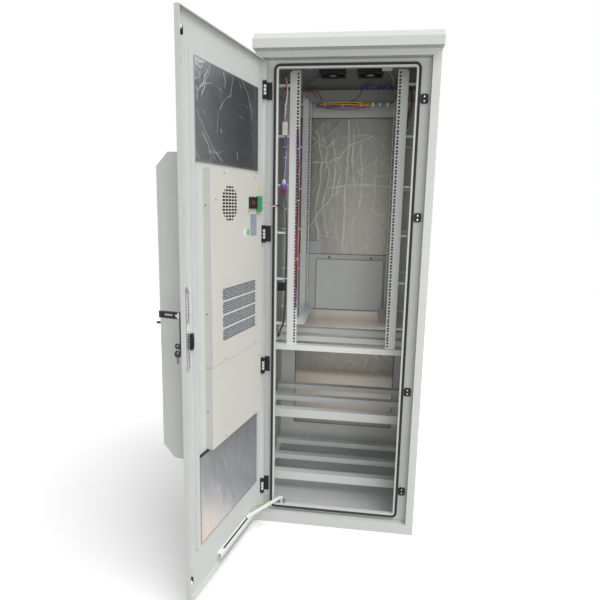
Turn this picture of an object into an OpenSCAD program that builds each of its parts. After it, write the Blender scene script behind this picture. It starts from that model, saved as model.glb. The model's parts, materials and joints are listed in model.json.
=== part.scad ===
/* [Cabinet] */
// Width across the side walls
body_w = 770; // [760:5:860]
// Depth from the front rim to the back
body_d = 770; // [760:5:860]
// Height from the ground to the roof hood
body_h = 2175; // [2175:5:2260]
// Thickness of the folded steel sheet
sheet_t = 2; // [1.5:0.1:2.4]
// Height of the base channel under the floor
base_h = 46; // [40:1:46]
// Distance of the anchor holes from the outside of the body
anchor_inset = 35; // [30:1:40]
// Diameter of the anchor holes
anchor_hole_d = 14; // [10:0.5:18]

/* [Roof hood] */
// How far the hood stands out over the door
hood_front = 45; // [20:1:80]
// How far the hood stands out at the back
hood_rear = 20; // [5:1:40]
// How far the hood stands out at each side
hood_side = 4; // [2:1:15]
// Height of the upright front of the hood
hood_fascia_h = 36; // [20:1:60]
// Length of the sloping front of the hood
hood_bevel_run = 42; // [20:1:80]
// Rise of the sloping front of the hood
hood_bevel_rise = 32; // [15:1:50]
// Fall of the roof towards the back
hood_fall = 14; // [0:1:25]

/* [Front frame] */
// Width of the rim on the hinge side
rim_hinge_w = 23.5; // [22:0.5:24]
// Width of the rim on the lock side
rim_lock_w = 34; // [28:1:40]
// Height of the rim above the door
rim_top_h = 26; // [20:1:40]
// Height of the rim below the door
rim_bottom_h = 49; // [49:1:60]
// Depth of the step that the door closes against
land_depth = 44; // [44:1:60]
// Width of the frame at each side of the doorway
frame_border = 94; // [93:1:105]
// Width of the doorway's folded lip
lip_w = 8; // [5:0.5:10]
// Height of the folded lip
lip_h = 16; // [8:1:18]
// Width of the rubber door seal
seal_w = 11; // [8:0.5:12]
// Corner radius of the seal, outside
seal_corner_r = 26; // [20:1:40]

/* [Door] */
// Angle at which the door stands open
door_open = 102; // [0:1:102]
// Thickness of the door's folded edge
door_t = 18; // [16:0.5:18]
// How far the door lies behind the rim
door_set = 20; // [18:0.5:20]
// Gap beside the hinges
door_gap_hinge = 18.5; // [18:0.5:20]
// Gap beside the lock
door_gap_lock = 15; // [14:0.5:18]
// Gap above and below the door
door_gap_z = 9; // [6:0.5:9]
// Diameter of the hinge pins
hinge_pin_d = 6; // [5:0.5:7]
// Height of a hinge
hinge_h = 72; // [60:1:90]

/* [Rack] */
// Distance between the two columns of rail holes
rail_pitch = 465.1; // [460:0.1:470]
// Side of a square rail hole
rail_hole = 9.5; // [7:0.1:9.8]
// Width of a rail's front
rail_w = 48; // [40:1:52]
// Depth of the front rails behind the rim
rail_depth = 228; // [200:1:260]
// Distance of the rear rails from the back of the body
rear_rail_back = 80; // [70:1:110]
// Height of the shelf that carries the rails
mid_shelf_z = 846; // [800:1:860]
// Height of the upper battery shelf
upper_shelf_z = 503; // [480:1:540]
// Height of the lower battery shelf
lower_shelf_z = 155; // [140:1:180]

/* [Air conditioner] */
// Distance of the inside cover from the door's hinge edge
ac_u0 = 84; // [70:1:95]
// Distance of the inside cover from the door's lock edge
ac_lock_space = 157; // [150:1:175]
// Height of the lower edge of the inside cover
ac_z0 = 607; // [600:1:620]
// Height of the joint between the two inside covers
ac_joint_z = 931; // [900:1:940]
// Height of the upper edge of the inside cover
ac_z1 = 1662; // [1650:1:1668]
// How far the inside cover stands from the door sheet
ac_inside = 29.5; // [26:0.5:36]
// Distance of the weather cover from the door's hinge edge
cover_u0 = 60; // [50:1:70]
// Distance of the weather cover from the door's lock edge
cover_lock_space = 129; // [120:1:140]
// Height of the lower edge of the weather cover
ac_cover_z0 = 562; // [540:1:580]
// Height of the upper edge of the weather cover
ac_cover_z1 = 1714; // [1700:1:1730]
// How far the weather cover stands from the door
ac_cover_d = 170; // [150:1:190]
// Size of the weather cover's bevels
ac_bevel = 48; // [30:1:60]
// Diameter of the round grille
grille_d = 132; // [120:1:140]
// Rows of slots in the round grille
grille_rows = 11; // [7:1:13]
// Height of the honeycomb vent
vent_h = 206; // [190:1:210]

/* [Lock] */
// Height of the handle's spindle
spindle_z = 1158; // [1140:1:1170]
// Module of the rack teeth on the lock rods
tooth_module = 1; // [0.9:0.05:1]
// Teeth on the lock pinion
pinion_teeth = 12; // [12:1:12]
// Width of a lock rod
rod_w = 12; // [10:0.5:12]
// Thickness of a lock rod
rod_t = 4; // [3:0.5:5]
// Diameter of the rollers on the rods
roller_d = 18; // [14:0.5:18]
// Reach of the handle lever from its pivot
lever_reach = 71; // [60:1:80]
// Width of the handle lever
lever_w = 23; // [18:0.5:24]

/* [Fans] */
// Width of a ceiling fan
fan_w = 120; // [110:1:124]
// Height of a ceiling fan
fan_h = 25; // [22:1:32]
// Blades on a ceiling fan
fan_blades = 7; // [5:1:9]
// Blades on the blower wheel
blower_blades = 24; // [16:1:30]

/* [Hidden] */
$fn = 48;

// Overrun of every cut
over = 1;
// Running clearance of pins and shafts
run_gap = 0.05;
// Clearance between pieces that pass each other
pass_gap = 0.5;

// Places of the front frame
front_y = -body_d / 2;
half_w = body_w / 2;
rim_x0 = -half_w + rim_hinge_w;
rim_x1 = half_w - rim_lock_w;
rim_z0 = rim_bottom_h;
rim_z1 = body_h - rim_top_h;
sill_h = 34;
head_h = 37;
opening_x = half_w - frame_border;
opening_z0 = rim_z0 + sill_h;
opening_z1 = rim_z1 - head_h;
seal_out = lip_w + seal_w;
lip_corner_r = seal_corner_r - seal_out;

// Places of the door
door_x0 = rim_x0 + door_gap_hinge;
door_x1 = rim_x1 - door_gap_lock;
door_w = door_x1 - door_x0;
door_z0 = rim_z0 + door_gap_z;
door_z1 = rim_z1 - door_gap_z;
door_hem = 4;
pin_offset = 7;
pin_inset = 5;
pin_x = door_x0 - pin_offset;
pin_y = front_y + door_set + pin_inset;
seal_front = door_set + sheet_t + pass_gap;

// Inner lining and walls
wall_flange = 18;
foil_t = 4;
foil_x = half_w - sheet_t - foil_t;
rear_v = body_d - sheet_t * 2;
rear_foil_v = rear_v - foil_t;
ceiling_z = body_h - sheet_t;
foil_edge = 60;
side_foil_z0 = 110;

// Rack rails
rear_rail_depth = body_d - rear_rail_back;
unit_h = 44.45;
unit_holes = [6.35, 22.225, 38.1];
rail_foot = 8;
rack_units = floor((ceiling_z - mid_shelf_z - 2 * rail_foot) / unit_h);
rail_z0 = mid_shelf_z;
rail_z1 = mid_shelf_z + rail_foot + rack_units * unit_h + rail_foot;
rail_edge = 10;
rail_x0 = rail_pitch / 2 - rail_edge;
rail_x1 = rail_x0 + rail_w;
rail_leg_in = 32;
rail_leg_out = 42;
rail_chamfer = 10;
bracket_first = 102;
bracket_pitch = 228;
bracket_count = floor((rail_z1 - rail_z0 - bracket_first) / bracket_pitch) + 1;
bracket_d = 24;
bracket_h = 10;
bracket_back = 8;
runner_rise = 104;
runner_z = mid_shelf_z + runner_rise;
runner_in = 36;
runner_up = 26;

// Shelves
shelf_front = 10;
shelf_rear = 90;
shelf_v0 = rail_depth - shelf_front;
shelf_v2 = rear_rail_depth - shelf_rear;
shelf_v = [shelf_v0, (shelf_v0 + shelf_v2) / 2, shelf_v2];
shelf_beam_d = 40;
shelf_beam_h = 28;
battery_front_h = 44;
shelf_side_w = 30;
shelf_side_back = 30;
shelf_side_end = rear_rail_depth - shelf_side_back;

// Rear filter cover and its vent
filter_x = 15;
filter_w = 386;
filter_z0 = 938;
filter_z1 = 1230;
filter_d = 30;
filter_flange = 20;
vent_slot_w = 300;
vent_slot_h = 8;
vent_slot_pitch = 25;
vent_slot_rows = 10;
louvre_out = 9;
lower_foil_gap = 8;
lower_foil_z0 = 200;
rear_foil_x = 300;
upper_foil_top = 55;

// Ceiling fans
fan_v = 330;
fan_x = [-81, 96.5];
fan_wall = 4;
fan_tip_gap = 2;
fan_hub_d = 42;
fan_strut_w = 5;
fan_strut_h = 3;
fan_shaft_d = 5;
fan_pitch = 35;
fan_blade_t = 1.6;
fan_blade_l = 20;
fan_screw_d = 4.3;
fan_screw_edge = 7.5;

// Ceiling terminal block
terminal_x = 172;
terminal_v = 250;
terminal_size = [46, 26, 22];
terminal_bays = 4;

// Cable tray under the ceiling
tray_x0 = -200;
tray_x1 = 212;
tray_before_rail = 50;
tray_drop = 93;
tray_h = 68;
tray_v = rear_rail_depth - tray_before_rail;
tray_z0 = ceiling_z - tray_drop;
tray_z1 = tray_z0 + tray_h;
tray_lip = 26;
tray_ear_w = 60;
tray_ear_h = 56;

// Harness tied under the tray's lip, as places along it and across it
tray_bundle_d = 22;
harness_d = 14;
seat_gap = 0.3;
tray_points = [[-190, 13], [-150, 14], [-100, 15], [-50, 14], [0, 13], [50, 14], [95, 15]];
tray_route = [for (p = tray_points)
    [p.x, tray_v - p.y, tray_z0 - sheet_t - tray_bundle_d / 2 - seat_gap]];

// Harness in front of the left bars, as shares of the bay's width and height
side_v = rail_depth + bracket_back - harness_d / 2 - seat_gap;
side_x0 = rail_x1 + harness_d / 2 + pass_gap;
side_x1 = foil_x - harness_d / 2 - pass_gap;
side_top = 53;
side_z0 = mid_shelf_z + runner_rise;
side_z1 = ceiling_z - side_top;
side_shares = [[0.14, 1], [0.08, 0.949], [0.14, 0.863], [0.06, 0.778], [0.13, 0.692], [0.17, 0.59],
               [0.18, 0.487], [0.23, 0.393], [0.21, 0.299], [0.2, 0.197], [0.21, 0.094], [0.21, 0]];
side_route = [for (p = side_shares)
    [-side_x0 - (side_x1 - side_x0) * p.x, side_v, side_z0 + (side_z1 - side_z0) * p.y]];

// Bundle tied along the inner edge of the front left rail
bundle_d = 11;
bundle_points = [[7, 1890], [5, 1800], [3, 1700], [2.5, 1560], [2, 1420], [2.5, 1280], [2, 1150],
                 [3, 1040]];
bundle_route = [for (p = bundle_points)
    [-rail_x0 - p.x, rail_depth - bundle_d / 2 - seat_gap, p.y]];
harness_sides = 8;

// Hinges
hinge_low = 124;
hinge_high = 118;
hinge_count = 4;
hinge_step = (door_z1 - hinge_high - door_z0 - hinge_low) / (hinge_count - 1);
hinge_z = [for (i = [0 : hinge_count - 1]) door_z0 + hinge_low + i * hinge_step];
hinge_ear_h = 14;
hinge_ear_r = 6.5;
hinge_plate_t = 5;
hinge_plate_x = 30;
knuckle_r = 6;
knuckle_groove = 1.2;
knuckle_groove_h = 4;
leaf_t = 5;

// Door buffers
buffer_shares = [0.067, 0.307, 0.69, 0.9265];
buffer_z = [for (p = buffer_shares) door_z0 + (door_z1 - door_z0) * p];
buffer_w = 32;
buffer_h = 40;
buffer_t = 5;
buffer_r = 9;
buffer_screw_d = 6;
buffer_screw_pitch = 18;
buffer_from_rim = 7;

// Door stay
stay_from_lip = 35;
stay_x = -opening_x + stay_from_lip;
stay_v = land_depth - sheet_t;
stay_base_w = 42;
stay_base_t = 3;
stay_post_d = 12;
stay_pin_d = 8;
stay_arm_w = 20;
stay_arm_t = 3;
stay_arm_z = 112;
stay_tip_u = 172;
stay_tip_w = 13;
stay_knob_d = 12;
channel_u0 = 132;
channel_u1 = 447;
channel_z0 = 90;
channel_z1 = 109;
channel_d = 22;
slot_u0 = 160;
slot_u1 = 410;
slot_w = 9;

// Door lining
stiff_inset = 89;
stiff_w = 26;
stiff_u0 = door_w - stiff_inset;
stiff_u1 = stiff_u0 + stiff_w;
stiff_flange = 10;
stiff_h = 10.5;
stiff_low = 182;
stiff_high = 110;
stiff_z0 = door_z0 + stiff_low;
stiff_z1 = door_z1 - stiff_high;
pad_t = 5;
pad_u0 = 62;
pad_side_gap = 14;
pad_u1 = stiff_u0 - pad_side_gap;
pad_low = 174;
pad_lower_z0 = door_z0 + pad_low;
pad_lower_gap = 10;
pad_upper_gap = 18;
pad_upper_share = 0.71;
pad_upper_z0 = ac_z1 + pad_upper_gap;
pad_upper_z1 = pad_upper_z0 + (door_z1 - ac_z1) * pad_upper_share;

// Air conditioner inside
ac_u1 = door_w - ac_lock_space;
ac_front = sheet_t + ac_inside;
ac_t = 1.5;
ac_joint_gap = 1;
ac_cut_edge = 8;
ac_cut_low = 33;
ac_cut_high = 22;
ac_cut_z0 = ac_z0 + ac_cut_low;
ac_cut_z1 = ac_z1 - ac_cut_high;
grille_from_lock = 149;
grille_from_top = 122;
grille_u = ac_u1 - grille_from_lock;
grille_z = ac_z1 - grille_from_top;
grille_bar_share = 0.5;
grille_slot = 19;
grille_slot_gap = 5;
vent_hinge_edge = 54;
vent_lock_edge = 84;
vent_above_joint = 84;
vent_u0 = ac_u0 + vent_hinge_edge;
vent_w = ac_u1 - vent_lock_edge - vent_u0;
vent_z0 = ac_joint_z + vent_above_joint;
vent_strips = 4;
vent_cells = 15;
vent_strip_gap = 7;
vent_cell_gap = 2.4;
controller_edge = 53;
controller_drop = 141;
controller_u = ac_u0 + controller_edge;
controller_z = ac_z1 - controller_drop;
controller_size = [71, 8, 47];
controller_bezel = 5;
terminal_edge = 8;
terminal_drop = 153;
terminal_u = ac_u0 + terminal_edge;
terminal_z = ac_z1 - terminal_drop;
plug_size = [44, 12, 64];
plug_ways = 6;
plug_screw_d = 5;
chassis_back = 62;
chassis_flange = 12;
blower_d = 112;
blower_w0 = -22;
blower_w1 = 16;
blower_hub_d = 46;
blower_plate_t = 3;
blower_blade = [14, 1.6];
blower_blade_turn = 40;
blower_shaft_d = 8;
blower_motor_d = 64;
evaporator_margin = 14;
evaporator_front_gap = 9;
fin_pitch = 20;
fin_t = 12;
fin_depth = 6;
condenser_d = 52;
condenser_edge = 26;
condenser_low = 83;
condenser_h = 320;
condenser_z0 = ac_z0 + condenser_low;
condenser_z1 = condenser_z0 + condenser_h;
condenser_u0 = ac_u0 + condenser_edge;
condenser_u1 = ac_u1 - condenser_edge;

// Air conditioner weather cover
cover_u1 = door_w - cover_lock_space;
cover_wall = 2;
cover_slot_edge = 27;
cover_slot_h = 7;
cover_slot_pitch = 24;
cover_slot_cols = 2;
cover_slot_gap = 40;
cover_slot_w = (cover_u1 - cover_u0 - 2 * (ac_bevel + cover_slot_edge)
                - (cover_slot_cols - 1) * cover_slot_gap) / cover_slot_cols;
cover_slot_rows = 12;
cover_slot_z = [650, 1270];

// Lock pieces on the door
spindle_inset = 13;
spindle_u = door_w - spindle_inset;
spindle_d = 12;
spindle_head_d = 22;
spindle_head_h = 10;
handle_w = 25;
handle_h = 148;
handle_t = 6;
handle_up = 18;
cylinder_drop = 109;
cylinder_r = 10;
cylinder_h = 6;
plug_r = 6;
tongue_w = 8;
tongue_r = 5.5;
lever_pivot = 23;
lever_pin_d = 5;
lever_t = 11;
lever_window = [40, 8];
lever_neck = 12;
rod_w0 = 5;
rod_inset = 3;
rod_u = door_w - rod_inset - rod_w;
rack_back = 3.25;
rack_teeth = 9;
tooth_top_share = 0.8;
tooth_root_share = 1.25;
tooth_play = 0.25;
pressure_angle = 20;
upper_rod_drop = 64;
lower_rod_rise = 80;
upper_rod_z = door_z1 - upper_rod_drop;
lower_rod_z = door_z0 + lower_rod_rise;
rod_tail = 28;
rod_jog_h = 18;
rod_start = 30;
roller_w = 8;
roller_axle_d = 5;
roller_cheek_t = 2;
roller_cheek_up = 16;
lock_plate_z0 = 950;
lock_plate_z1 = 1250;
guide_end = 98;
guide_far = 350;
guide_z = [lower_rod_z + guide_end, spindle_z - guide_far, spindle_z + guide_far,
           upper_rod_z - guide_end];
guide_h = 14;
guide_t = 2.5;

// Key and its ring
key_bow_r = 10;
key_bow_t = 2.4;
key_bow_hole_r = 4;
key_blade = [2, 8];
key_blade_l = 16;
key_ring_r = 9;
key_ring_d = 1.6;
spare_bow_r = 13;
spare_blade_l = 22;

// A place on the open door, counted from the front rim
function at_door(u, w, z) =
    let (a = u + pin_offset, b = w - pin_inset)
    [pin_x + a * cos(door_open) + b * sin(door_open),
     door_set + pin_inset - a * sin(door_open) + b * cos(door_open), z];

// Earth stud on the door, and the wires that cross the hinge
stud_u = 60;
stud_z = 108;
stud_d = 6;
stud_end = 9;
strap_d = 5;
strap_points = [[60, 9.2, 108], [60, 14, 108], [52, 22, 103], [34, 27, 99], [14, 30, 98]];
strap_frame_points = [[24, 22, 99], [27, 31, 103], [28.5, 38, 108], [28.5, 43.7, 108]];
strap_route = concat([for (p = strap_points) at_door(p.x, p.y, p.z)],
                     [for (p = strap_frame_points) [pin_x + p.x, p.y, p.z]]);
lead_d = 4;
lead_plug_z = plug_size.z / 2 + terminal_z;
lead_points = [[7.7, 38, 2], [1, 38, 2], [-14, 45, -1], [-32, 50, -4], [-54, 52, -7], [-76, 50, -8]];
lead_frame_points = [[55, 18, -7], [66, 34, -5], [69, 52, -6], [66, 80, -11], [63, 120, -14],
                     [60, 170, -18], [57, 205, -21]];
lead_tap = side_route[6];
lead_route = concat([for (p = lead_points) at_door(ac_u0 + p.x, p.y, lead_plug_z + p.z)],
                    [for (p = lead_frame_points) [pin_x + p.x, p.y, lead_plug_z + p.z]],
                    [[lead_tap.x, side_v - harness_d / 2 - seat_gap, lead_tap.z]]);

// Colours
paint = [0.84, 0.85, 0.83];
cream = [0.84, 0.83, 0.77];
zinc = [0.66, 0.69, 0.71];
foil = [0.62, 0.63, 0.64];
black = [0.06, 0.06, 0.07];
white = [0.93, 0.93, 0.9];

// Flat shapes

// A rectangle between two corners
module rect2(x0, x1, z0, z1) {
    translate([x0, z0]) square([x1 - x0, z1 - z0]);
}

// A rectangle with round corners
module round2(x0, x1, z0, z1, r) {
    rect2(x0 + r, x1 - r, z0, z1);
    rect2(x0, x1, z0 + r, z1 - r);
    for (x = [x0 + r, x1 - r], z = [z0 + r, z1 - r]) translate([x, z]) circle(r);
}

// The doorway, grown by a margin, with round corners
module doorway2(margin) {
    round2(-opening_x - margin, opening_x + margin, opening_z0 - margin, opening_z1 + margin,
           lip_corner_r + margin);
}

// The rim's inner edge, grown by a margin
module rim2(margin) {
    rect2(rim_x0 - margin, rim_x1 + margin, rim_z0 - margin, rim_z1 + margin);
}

// Places and solids

// Pushes a front view back from depth v0 to depth v1 behind the rim
module slab(v0, v1) {
    translate([0, front_y + v1, 0]) rotate([90, 0, 0]) linear_extrude(v1 - v0) children();
}

// A block between two corners, with its depth taken from the rim
module block(x0, x1, v0, v1, z0, z1) {
    translate([x0, front_y + v0, z0]) cube([x1 - x0, v1 - v0, z1 - z0]);
}

// Moves door pieces from the door's own axes to the open door
module on_door() {
    translate([pin_x, pin_y, 0]) rotate([0, 0, -door_open])
        translate([door_x0 - pin_x, front_y + door_set - pin_y, 0]) children();
}

// Pushes a view of the door from depth w0 to depth w1 behind its face
module door_slab(w0, w1) {
    translate([0, w1, 0]) rotate([90, 0, 0]) linear_extrude(w1 - w0) children();
}

// A block on the door
module door_block(u0, u1, w0, w1, z0, z1) {
    translate([u0, w0, z0]) cube([u1 - u0, w1 - w0, z1 - z0]);
}

// A round bar through the door, along its thickness
module door_rod(u, z, w0, w1, d) {
    translate([u, w1, z]) rotate([90, 0, 0]) cylinder(d = d, h = w1 - w0);
}

// Rings of points around a route, for a round lead
function unit_of(a) = a / norm(a);
function heading(route, i) = unit_of(route[min(i + 1, len(route) - 1)] - route[max(i - 1, 0)]);
function side_of(t) = unit_of(cross(t, abs(t.z) > abs(t.y) ? [0, 1, 0] : [0, 0, 1]));
function ring_at(route, i, d, n) =
    let (t = heading(route, i), a = side_of(t), b = cross(t, a))
    [for (k = [0 : n - 1]) route[i] + (a * cos(360 * k / n) + b * sin(360 * k / n)) * d / 2];
module lead(route, d, n) {
    rings = len(route);
    points = [for (i = [0 : rings - 1]) each ring_at(route, i, d, n)];
    sides = [for (i = [0 : rings - 2], k = [0 : n - 1])
        [i * n + k, i * n + (k + 1) % n, (i + 1) * n + (k + 1) % n, (i + 1) * n + k]];
    first = [for (k = [0 : n - 1]) n - 1 - k];
    last = [for (k = [0 : n - 1]) (rings - 1) * n + k];
    translate([0, front_y, 0]) polyhedron(points, concat(sides, [first, last]));
}

// Cabinet shell

// Welded channel under the floor, with the anchor holes
module base_frame() {
    foot_w = 60;
    top_w = 40;
    channel_t = 3;
    x = half_w - sheet_t;
    v0 = sheet_t * 2;
    v1 = rear_v;
    color(zinc) difference() {
        union() {
            base_ring(x, v0, v1, foot_w, 0, channel_t);
            base_ring(x, v0, v1, channel_t, 0, base_h);
            base_ring(x, v0, v1, top_w, base_h - channel_t, base_h);
        }
        for (sx = [-1, 1], sy = [-1, 1])
            translate([sx * (half_w - anchor_inset), sy * (body_d / 2 - anchor_inset), -over])
                cylinder(d = anchor_hole_d, h = channel_t + 2 * over);
    }
}

module base_ring(x, v0, v1, w, z0, z1) {
    difference() {
        block(-x, x, v0, v1, z0, z1);
        block(-x + w, x - w, v0 + w, v1 - w, z0 - over, z1 + over);
    }
}

// Galvanised floor sheet on the base channel
module floor_plate() {
    x = half_w - sheet_t;
    color(zinc) block(-x, x, land_depth + sheet_t * 2, rear_v, base_h, base_h + sheet_t);
}

// Folded rim, step and lip around the doorway
module front_frame() {
    color(paint) {
        slab(0, sheet_t) difference() {
            rect2(-half_w, half_w, 0, body_h);
            rim2(0);
        }
        slab(0, land_depth + sheet_t) difference() {
            rim2(sheet_t);
            rim2(0);
        }
        slab(land_depth, land_depth + sheet_t) difference() {
            rim2(sheet_t);
            doorway2(0);
        }
        slab(land_depth - lip_h, land_depth + sheet_t) difference() {
            doorway2(lip_w);
            doorway2(0);
        }
    }
}

// One side sheet with its front and back folds, for the right-hand side
module side_sheet() {
    h = ceiling_z;
    block(half_w - sheet_t, half_w, sheet_t, body_d, 0, h);
    block(half_w - wall_flange, half_w, sheet_t, sheet_t * 2, 0, h);
    block(half_w - wall_flange, half_w, body_d - sheet_t, body_d, 0, h);
}

module left_wall() {
    color(paint) mirror([1, 0, 0]) side_sheet();
}

module right_wall() {
    color(paint) side_sheet();
}

// Back sheet with the louvred vent behind the filter
module rear_wall() {
    x = half_w - sheet_t;
    first = (filter_z0 + filter_z1 - vent_slot_pitch * (vent_slot_rows - 1)) / 2;
    color(paint) {
        slab(rear_v, rear_v + sheet_t) difference() {
            rect2(-x, x, 0, ceiling_z);
            for (i = [0 : vent_slot_rows - 1]) vent_slot(first + i * vent_slot_pitch);
        }
        for (i = [0 : vent_slot_rows - 1]) louvre(first + i * vent_slot_pitch);
    }
}

module vent_slot(z) {
    rect2(filter_x - vent_slot_w / 2, filter_x + vent_slot_w / 2, z, z + vent_slot_h);
}

// A sloping blade over one slot, on the outside
module louvre(z) {
    back = front_y + rear_v + sheet_t;
    top = z + vent_slot_h + sheet_t;
    root = back - sheet_t / 2;
    translate([filter_x - vent_slot_w / 2, 0, 0]) rotate([90, 0, 90])
        linear_extrude(vent_slot_w)
            polygon([[root, top], [root, top + sheet_t], [back, top + sheet_t],
                     [back + louvre_out, z + sheet_t], [back + louvre_out, z], [back, top]]);
}

// Top sheet with the two fan openings
module ceiling_plate() {
    color(paint) difference() {
        block(-half_w, half_w, sheet_t, body_d, ceiling_z, body_h);
        for (x = fan_x) translate([x, front_y + fan_v, ceiling_z - over])
            cylinder(d = fan_w - 2 * fan_wall, h = sheet_t + 2 * over);
    }
}

// Side outline of the hood, inside a wall of thickness t
module hood2(t) {
    v0 = -hood_front + t;
    v1 = body_d + hood_rear - t;
    peak = body_h + hood_fascia_h + hood_bevel_rise - t;
    polygon([[v0, body_h + t], [v0, body_h + hood_fascia_h - t / 2],
             [-hood_front + hood_bevel_run, peak], [v1, peak - hood_fall], [v1, body_h + t]]);
}

// Hollow rain hood, open to the fans underneath
module roof_hood() {
    x = half_w + hood_side;
    ledge = 40;
    color(paint) difference() {
        hood_run(-x, x) hood2(0);
        hood_run(-x + sheet_t, x - sheet_t) hood2(sheet_t);
        block(-half_w + ledge, half_w - ledge, ledge, body_d - ledge, body_h - over,
              body_h + sheet_t + over);
    }
}

module hood_run(x0, x1) {
    translate([x0, front_y, 0]) rotate([90, 0, 90]) linear_extrude(x1 - x0) children();
}

// Rubber seal around the doorway
module door_gasket() {
    color(black) slab(seal_front, land_depth) difference() {
        doorway2(seal_out);
        doorway2(lip_w);
    }
}

// Foil-faced insulation on the side walls
module side_foils() {
    color(foil) for (s = [0, 1]) mirror([s, 0, 0])
        block(foil_x, foil_x + foil_t, foil_edge, rear_v - foil_edge, side_foil_z0,
              ceiling_z - foil_edge);
}

// Foil-faced insulation on the back, above and below the filter
module rear_foils() {
    color(foil) {
        block(-rear_foil_x, rear_foil_x, rear_foil_v, rear_v,
              filter_z1 + filter_flange + lower_foil_gap, ceiling_z - upper_foil_top);
        block(-rear_foil_x, rear_foil_x, rear_foil_v, rear_v, lower_foil_z0,
              filter_z0 - lower_foil_gap);
    }
}

// Folded tray that holds the filter over the rear vent
module filter_cover() {
    x0 = filter_x - filter_w / 2;
    x1 = filter_x + filter_w / 2;
    v0 = rear_v - filter_d;
    color(paint) {
        difference() {
            block(x0, x1, v0, rear_v, filter_z0, filter_z1);
            block(x0 + sheet_t, x1 - sheet_t, v0 + sheet_t, rear_v + over, filter_z0 + sheet_t,
                  filter_z1 - sheet_t);
        }
        block(x0, x1, rear_v - sheet_t, rear_v, filter_z1, filter_z1 + filter_flange);
    }
}

// Rack

// A rail of folded channel with its column of square holes, for the right-hand side
module rack_rail(v) {
    first = rail_z0 + rail_foot;
    slab(v, v + sheet_t) difference() {
        polygon([[rail_x0, rail_z0], [rail_x1, rail_z0], [rail_x1, rail_z1 - rail_chamfer],
                 [rail_x1 - rail_chamfer, rail_z1], [rail_x0, rail_z1]]);
        for (i = [0 : rack_units - 1], h = unit_holes)
            translate([rail_pitch / 2, first + i * unit_h + h]) square(rail_hole, center = true);
    }
    block(rail_x0, rail_x0 + sheet_t, v, v + rail_leg_in, rail_z0, rail_z1);
    block(rail_x1 - sheet_t, rail_x1, v, v + rail_leg_out, rail_z0, rail_z1 - rail_chamfer);
}

module front_left_rail() {
    color(paint) mirror([1, 0, 0]) rack_rail(rail_depth);
}

module front_right_rail() {
    color(paint) rack_rail(rail_depth);
}

module rear_left_rail() {
    color(paint) mirror([1, 0, 0]) rack_rail(rear_rail_depth);
}

module rear_right_rail() {
    color(paint) rack_rail(rear_rail_depth);
}

// Bars that hold the rails to the side walls
module rail_brackets() {
    color(white) for (s = [0, 1], v = [rail_depth, rear_rail_depth], i = [0 : bracket_count - 1]) {
        z = mid_shelf_z + bracket_first + i * bracket_pitch;
        mirror([s, 0, 0]) block(rail_x1, foil_x, v + bracket_back, v + bracket_back + bracket_d,
                                z - bracket_h / 2, z + bracket_h / 2);
    }
}

// Angles between the front and rear rails that carry equipment
module equipment_runners() {
    v0 = rail_depth + bracket_back;
    v1 = rear_rail_depth + rail_leg_in;
    color(paint) for (s = [0, 1]) mirror([s, 0, 0]) {
        block(rail_x0 - runner_in, rail_x0, v0, v1, runner_z, runner_z + sheet_t);
        block(rail_x0 - sheet_t, rail_x0, v0, v1, runner_z, runner_z + runner_up);
    }
}

// Three cross channels on two side angles, with the front one of its own height
module shelf(z, front_h) {
    for (i = [0 : len(shelf_v) - 1]) cross_channel(shelf_v[i], z, i == 0 ? front_h : shelf_beam_h);
    low = z - shelf_beam_h;
    for (s = [0, 1]) mirror([s, 0, 0]) {
        block(foil_x - shelf_side_w, foil_x, shelf_v[0], shelf_side_end,
              low - sheet_t, low);
        block(foil_x - sheet_t, foil_x, shelf_v[0], shelf_side_end,
              low - shelf_side_w, low);
    }
}

// A channel from wall to wall, open underneath
module cross_channel(v, z, h) {
    difference() {
        block(-foil_x, foil_x, v, v + shelf_beam_d, z - shelf_beam_h, z);
        block(-foil_x - over, foil_x + over, v + sheet_t, v + shelf_beam_d - sheet_t,
              z - shelf_beam_h - over, z - sheet_t);
    }
    if (h > shelf_beam_h) block(-foil_x, foil_x, v, v + sheet_t, z - h, z);
}

module mid_shelf() {
    color(paint) shelf(mid_shelf_z, shelf_beam_h);
}

module upper_battery_shelf() {
    color(paint) shelf(upper_shelf_z, battery_front_h);
}

module lower_battery_shelf() {
    color(paint) shelf(lower_shelf_z, battery_front_h);
}

// Ceiling pieces

// Square fan housings with their struts and shafts
module fan_frames() {
    z0 = ceiling_z - fan_h;
    bore = fan_w - 2 * fan_wall;
    edge = fan_w / 2 - fan_screw_edge;
    color(black) for (x = fan_x) translate([x, front_y + fan_v, z0]) {
        linear_extrude(fan_h) difference() {
            round2(-fan_w / 2, fan_w / 2, -fan_w / 2, fan_w / 2, fan_screw_edge);
            circle(d = bore);
            for (a = [-1, 1], b = [-1, 1]) translate([a * edge, b * edge]) circle(d = fan_screw_d);
        }
        linear_extrude(fan_strut_h) {
            circle(d = fan_hub_d);
            intersection() {
                for (a = [0, 90]) rotate(a + 45) square([fan_w, fan_strut_w], center = true);
                circle(d = bore + fan_wall);
            }
        }
        cylinder(d = fan_shaft_d, h = fan_h / 2);
    }
}

// A fan wheel with pitched blades around its hub
module fan_rotor(x) {
    z0 = ceiling_z - fan_h + fan_strut_h + pass_gap;
    hub_h = fan_h - fan_strut_h - 2 * pass_gap;
    bore_r = fan_w / 2 - fan_wall - fan_tip_gap;
    color(black) translate([x, front_y + fan_v, z0]) difference() {
        union() {
            cylinder(d = fan_hub_d, h = hub_h);
            intersection() {
                cylinder(r = bore_r, h = hub_h);
                for (i = [0 : fan_blades - 1]) rotate(i * 360 / fan_blades)
                    translate([0, 0, hub_h / 2]) rotate([fan_pitch, 0, 0])
                        translate([0, -fan_blade_l / 2, -fan_blade_t / 2])
                            cube([bore_r, fan_blade_l, fan_blade_t]);
            }
        }
        translate([0, 0, -over]) cylinder(d = fan_shaft_d + 2 * run_gap, h = fan_h / 2);
    }
}

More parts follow.
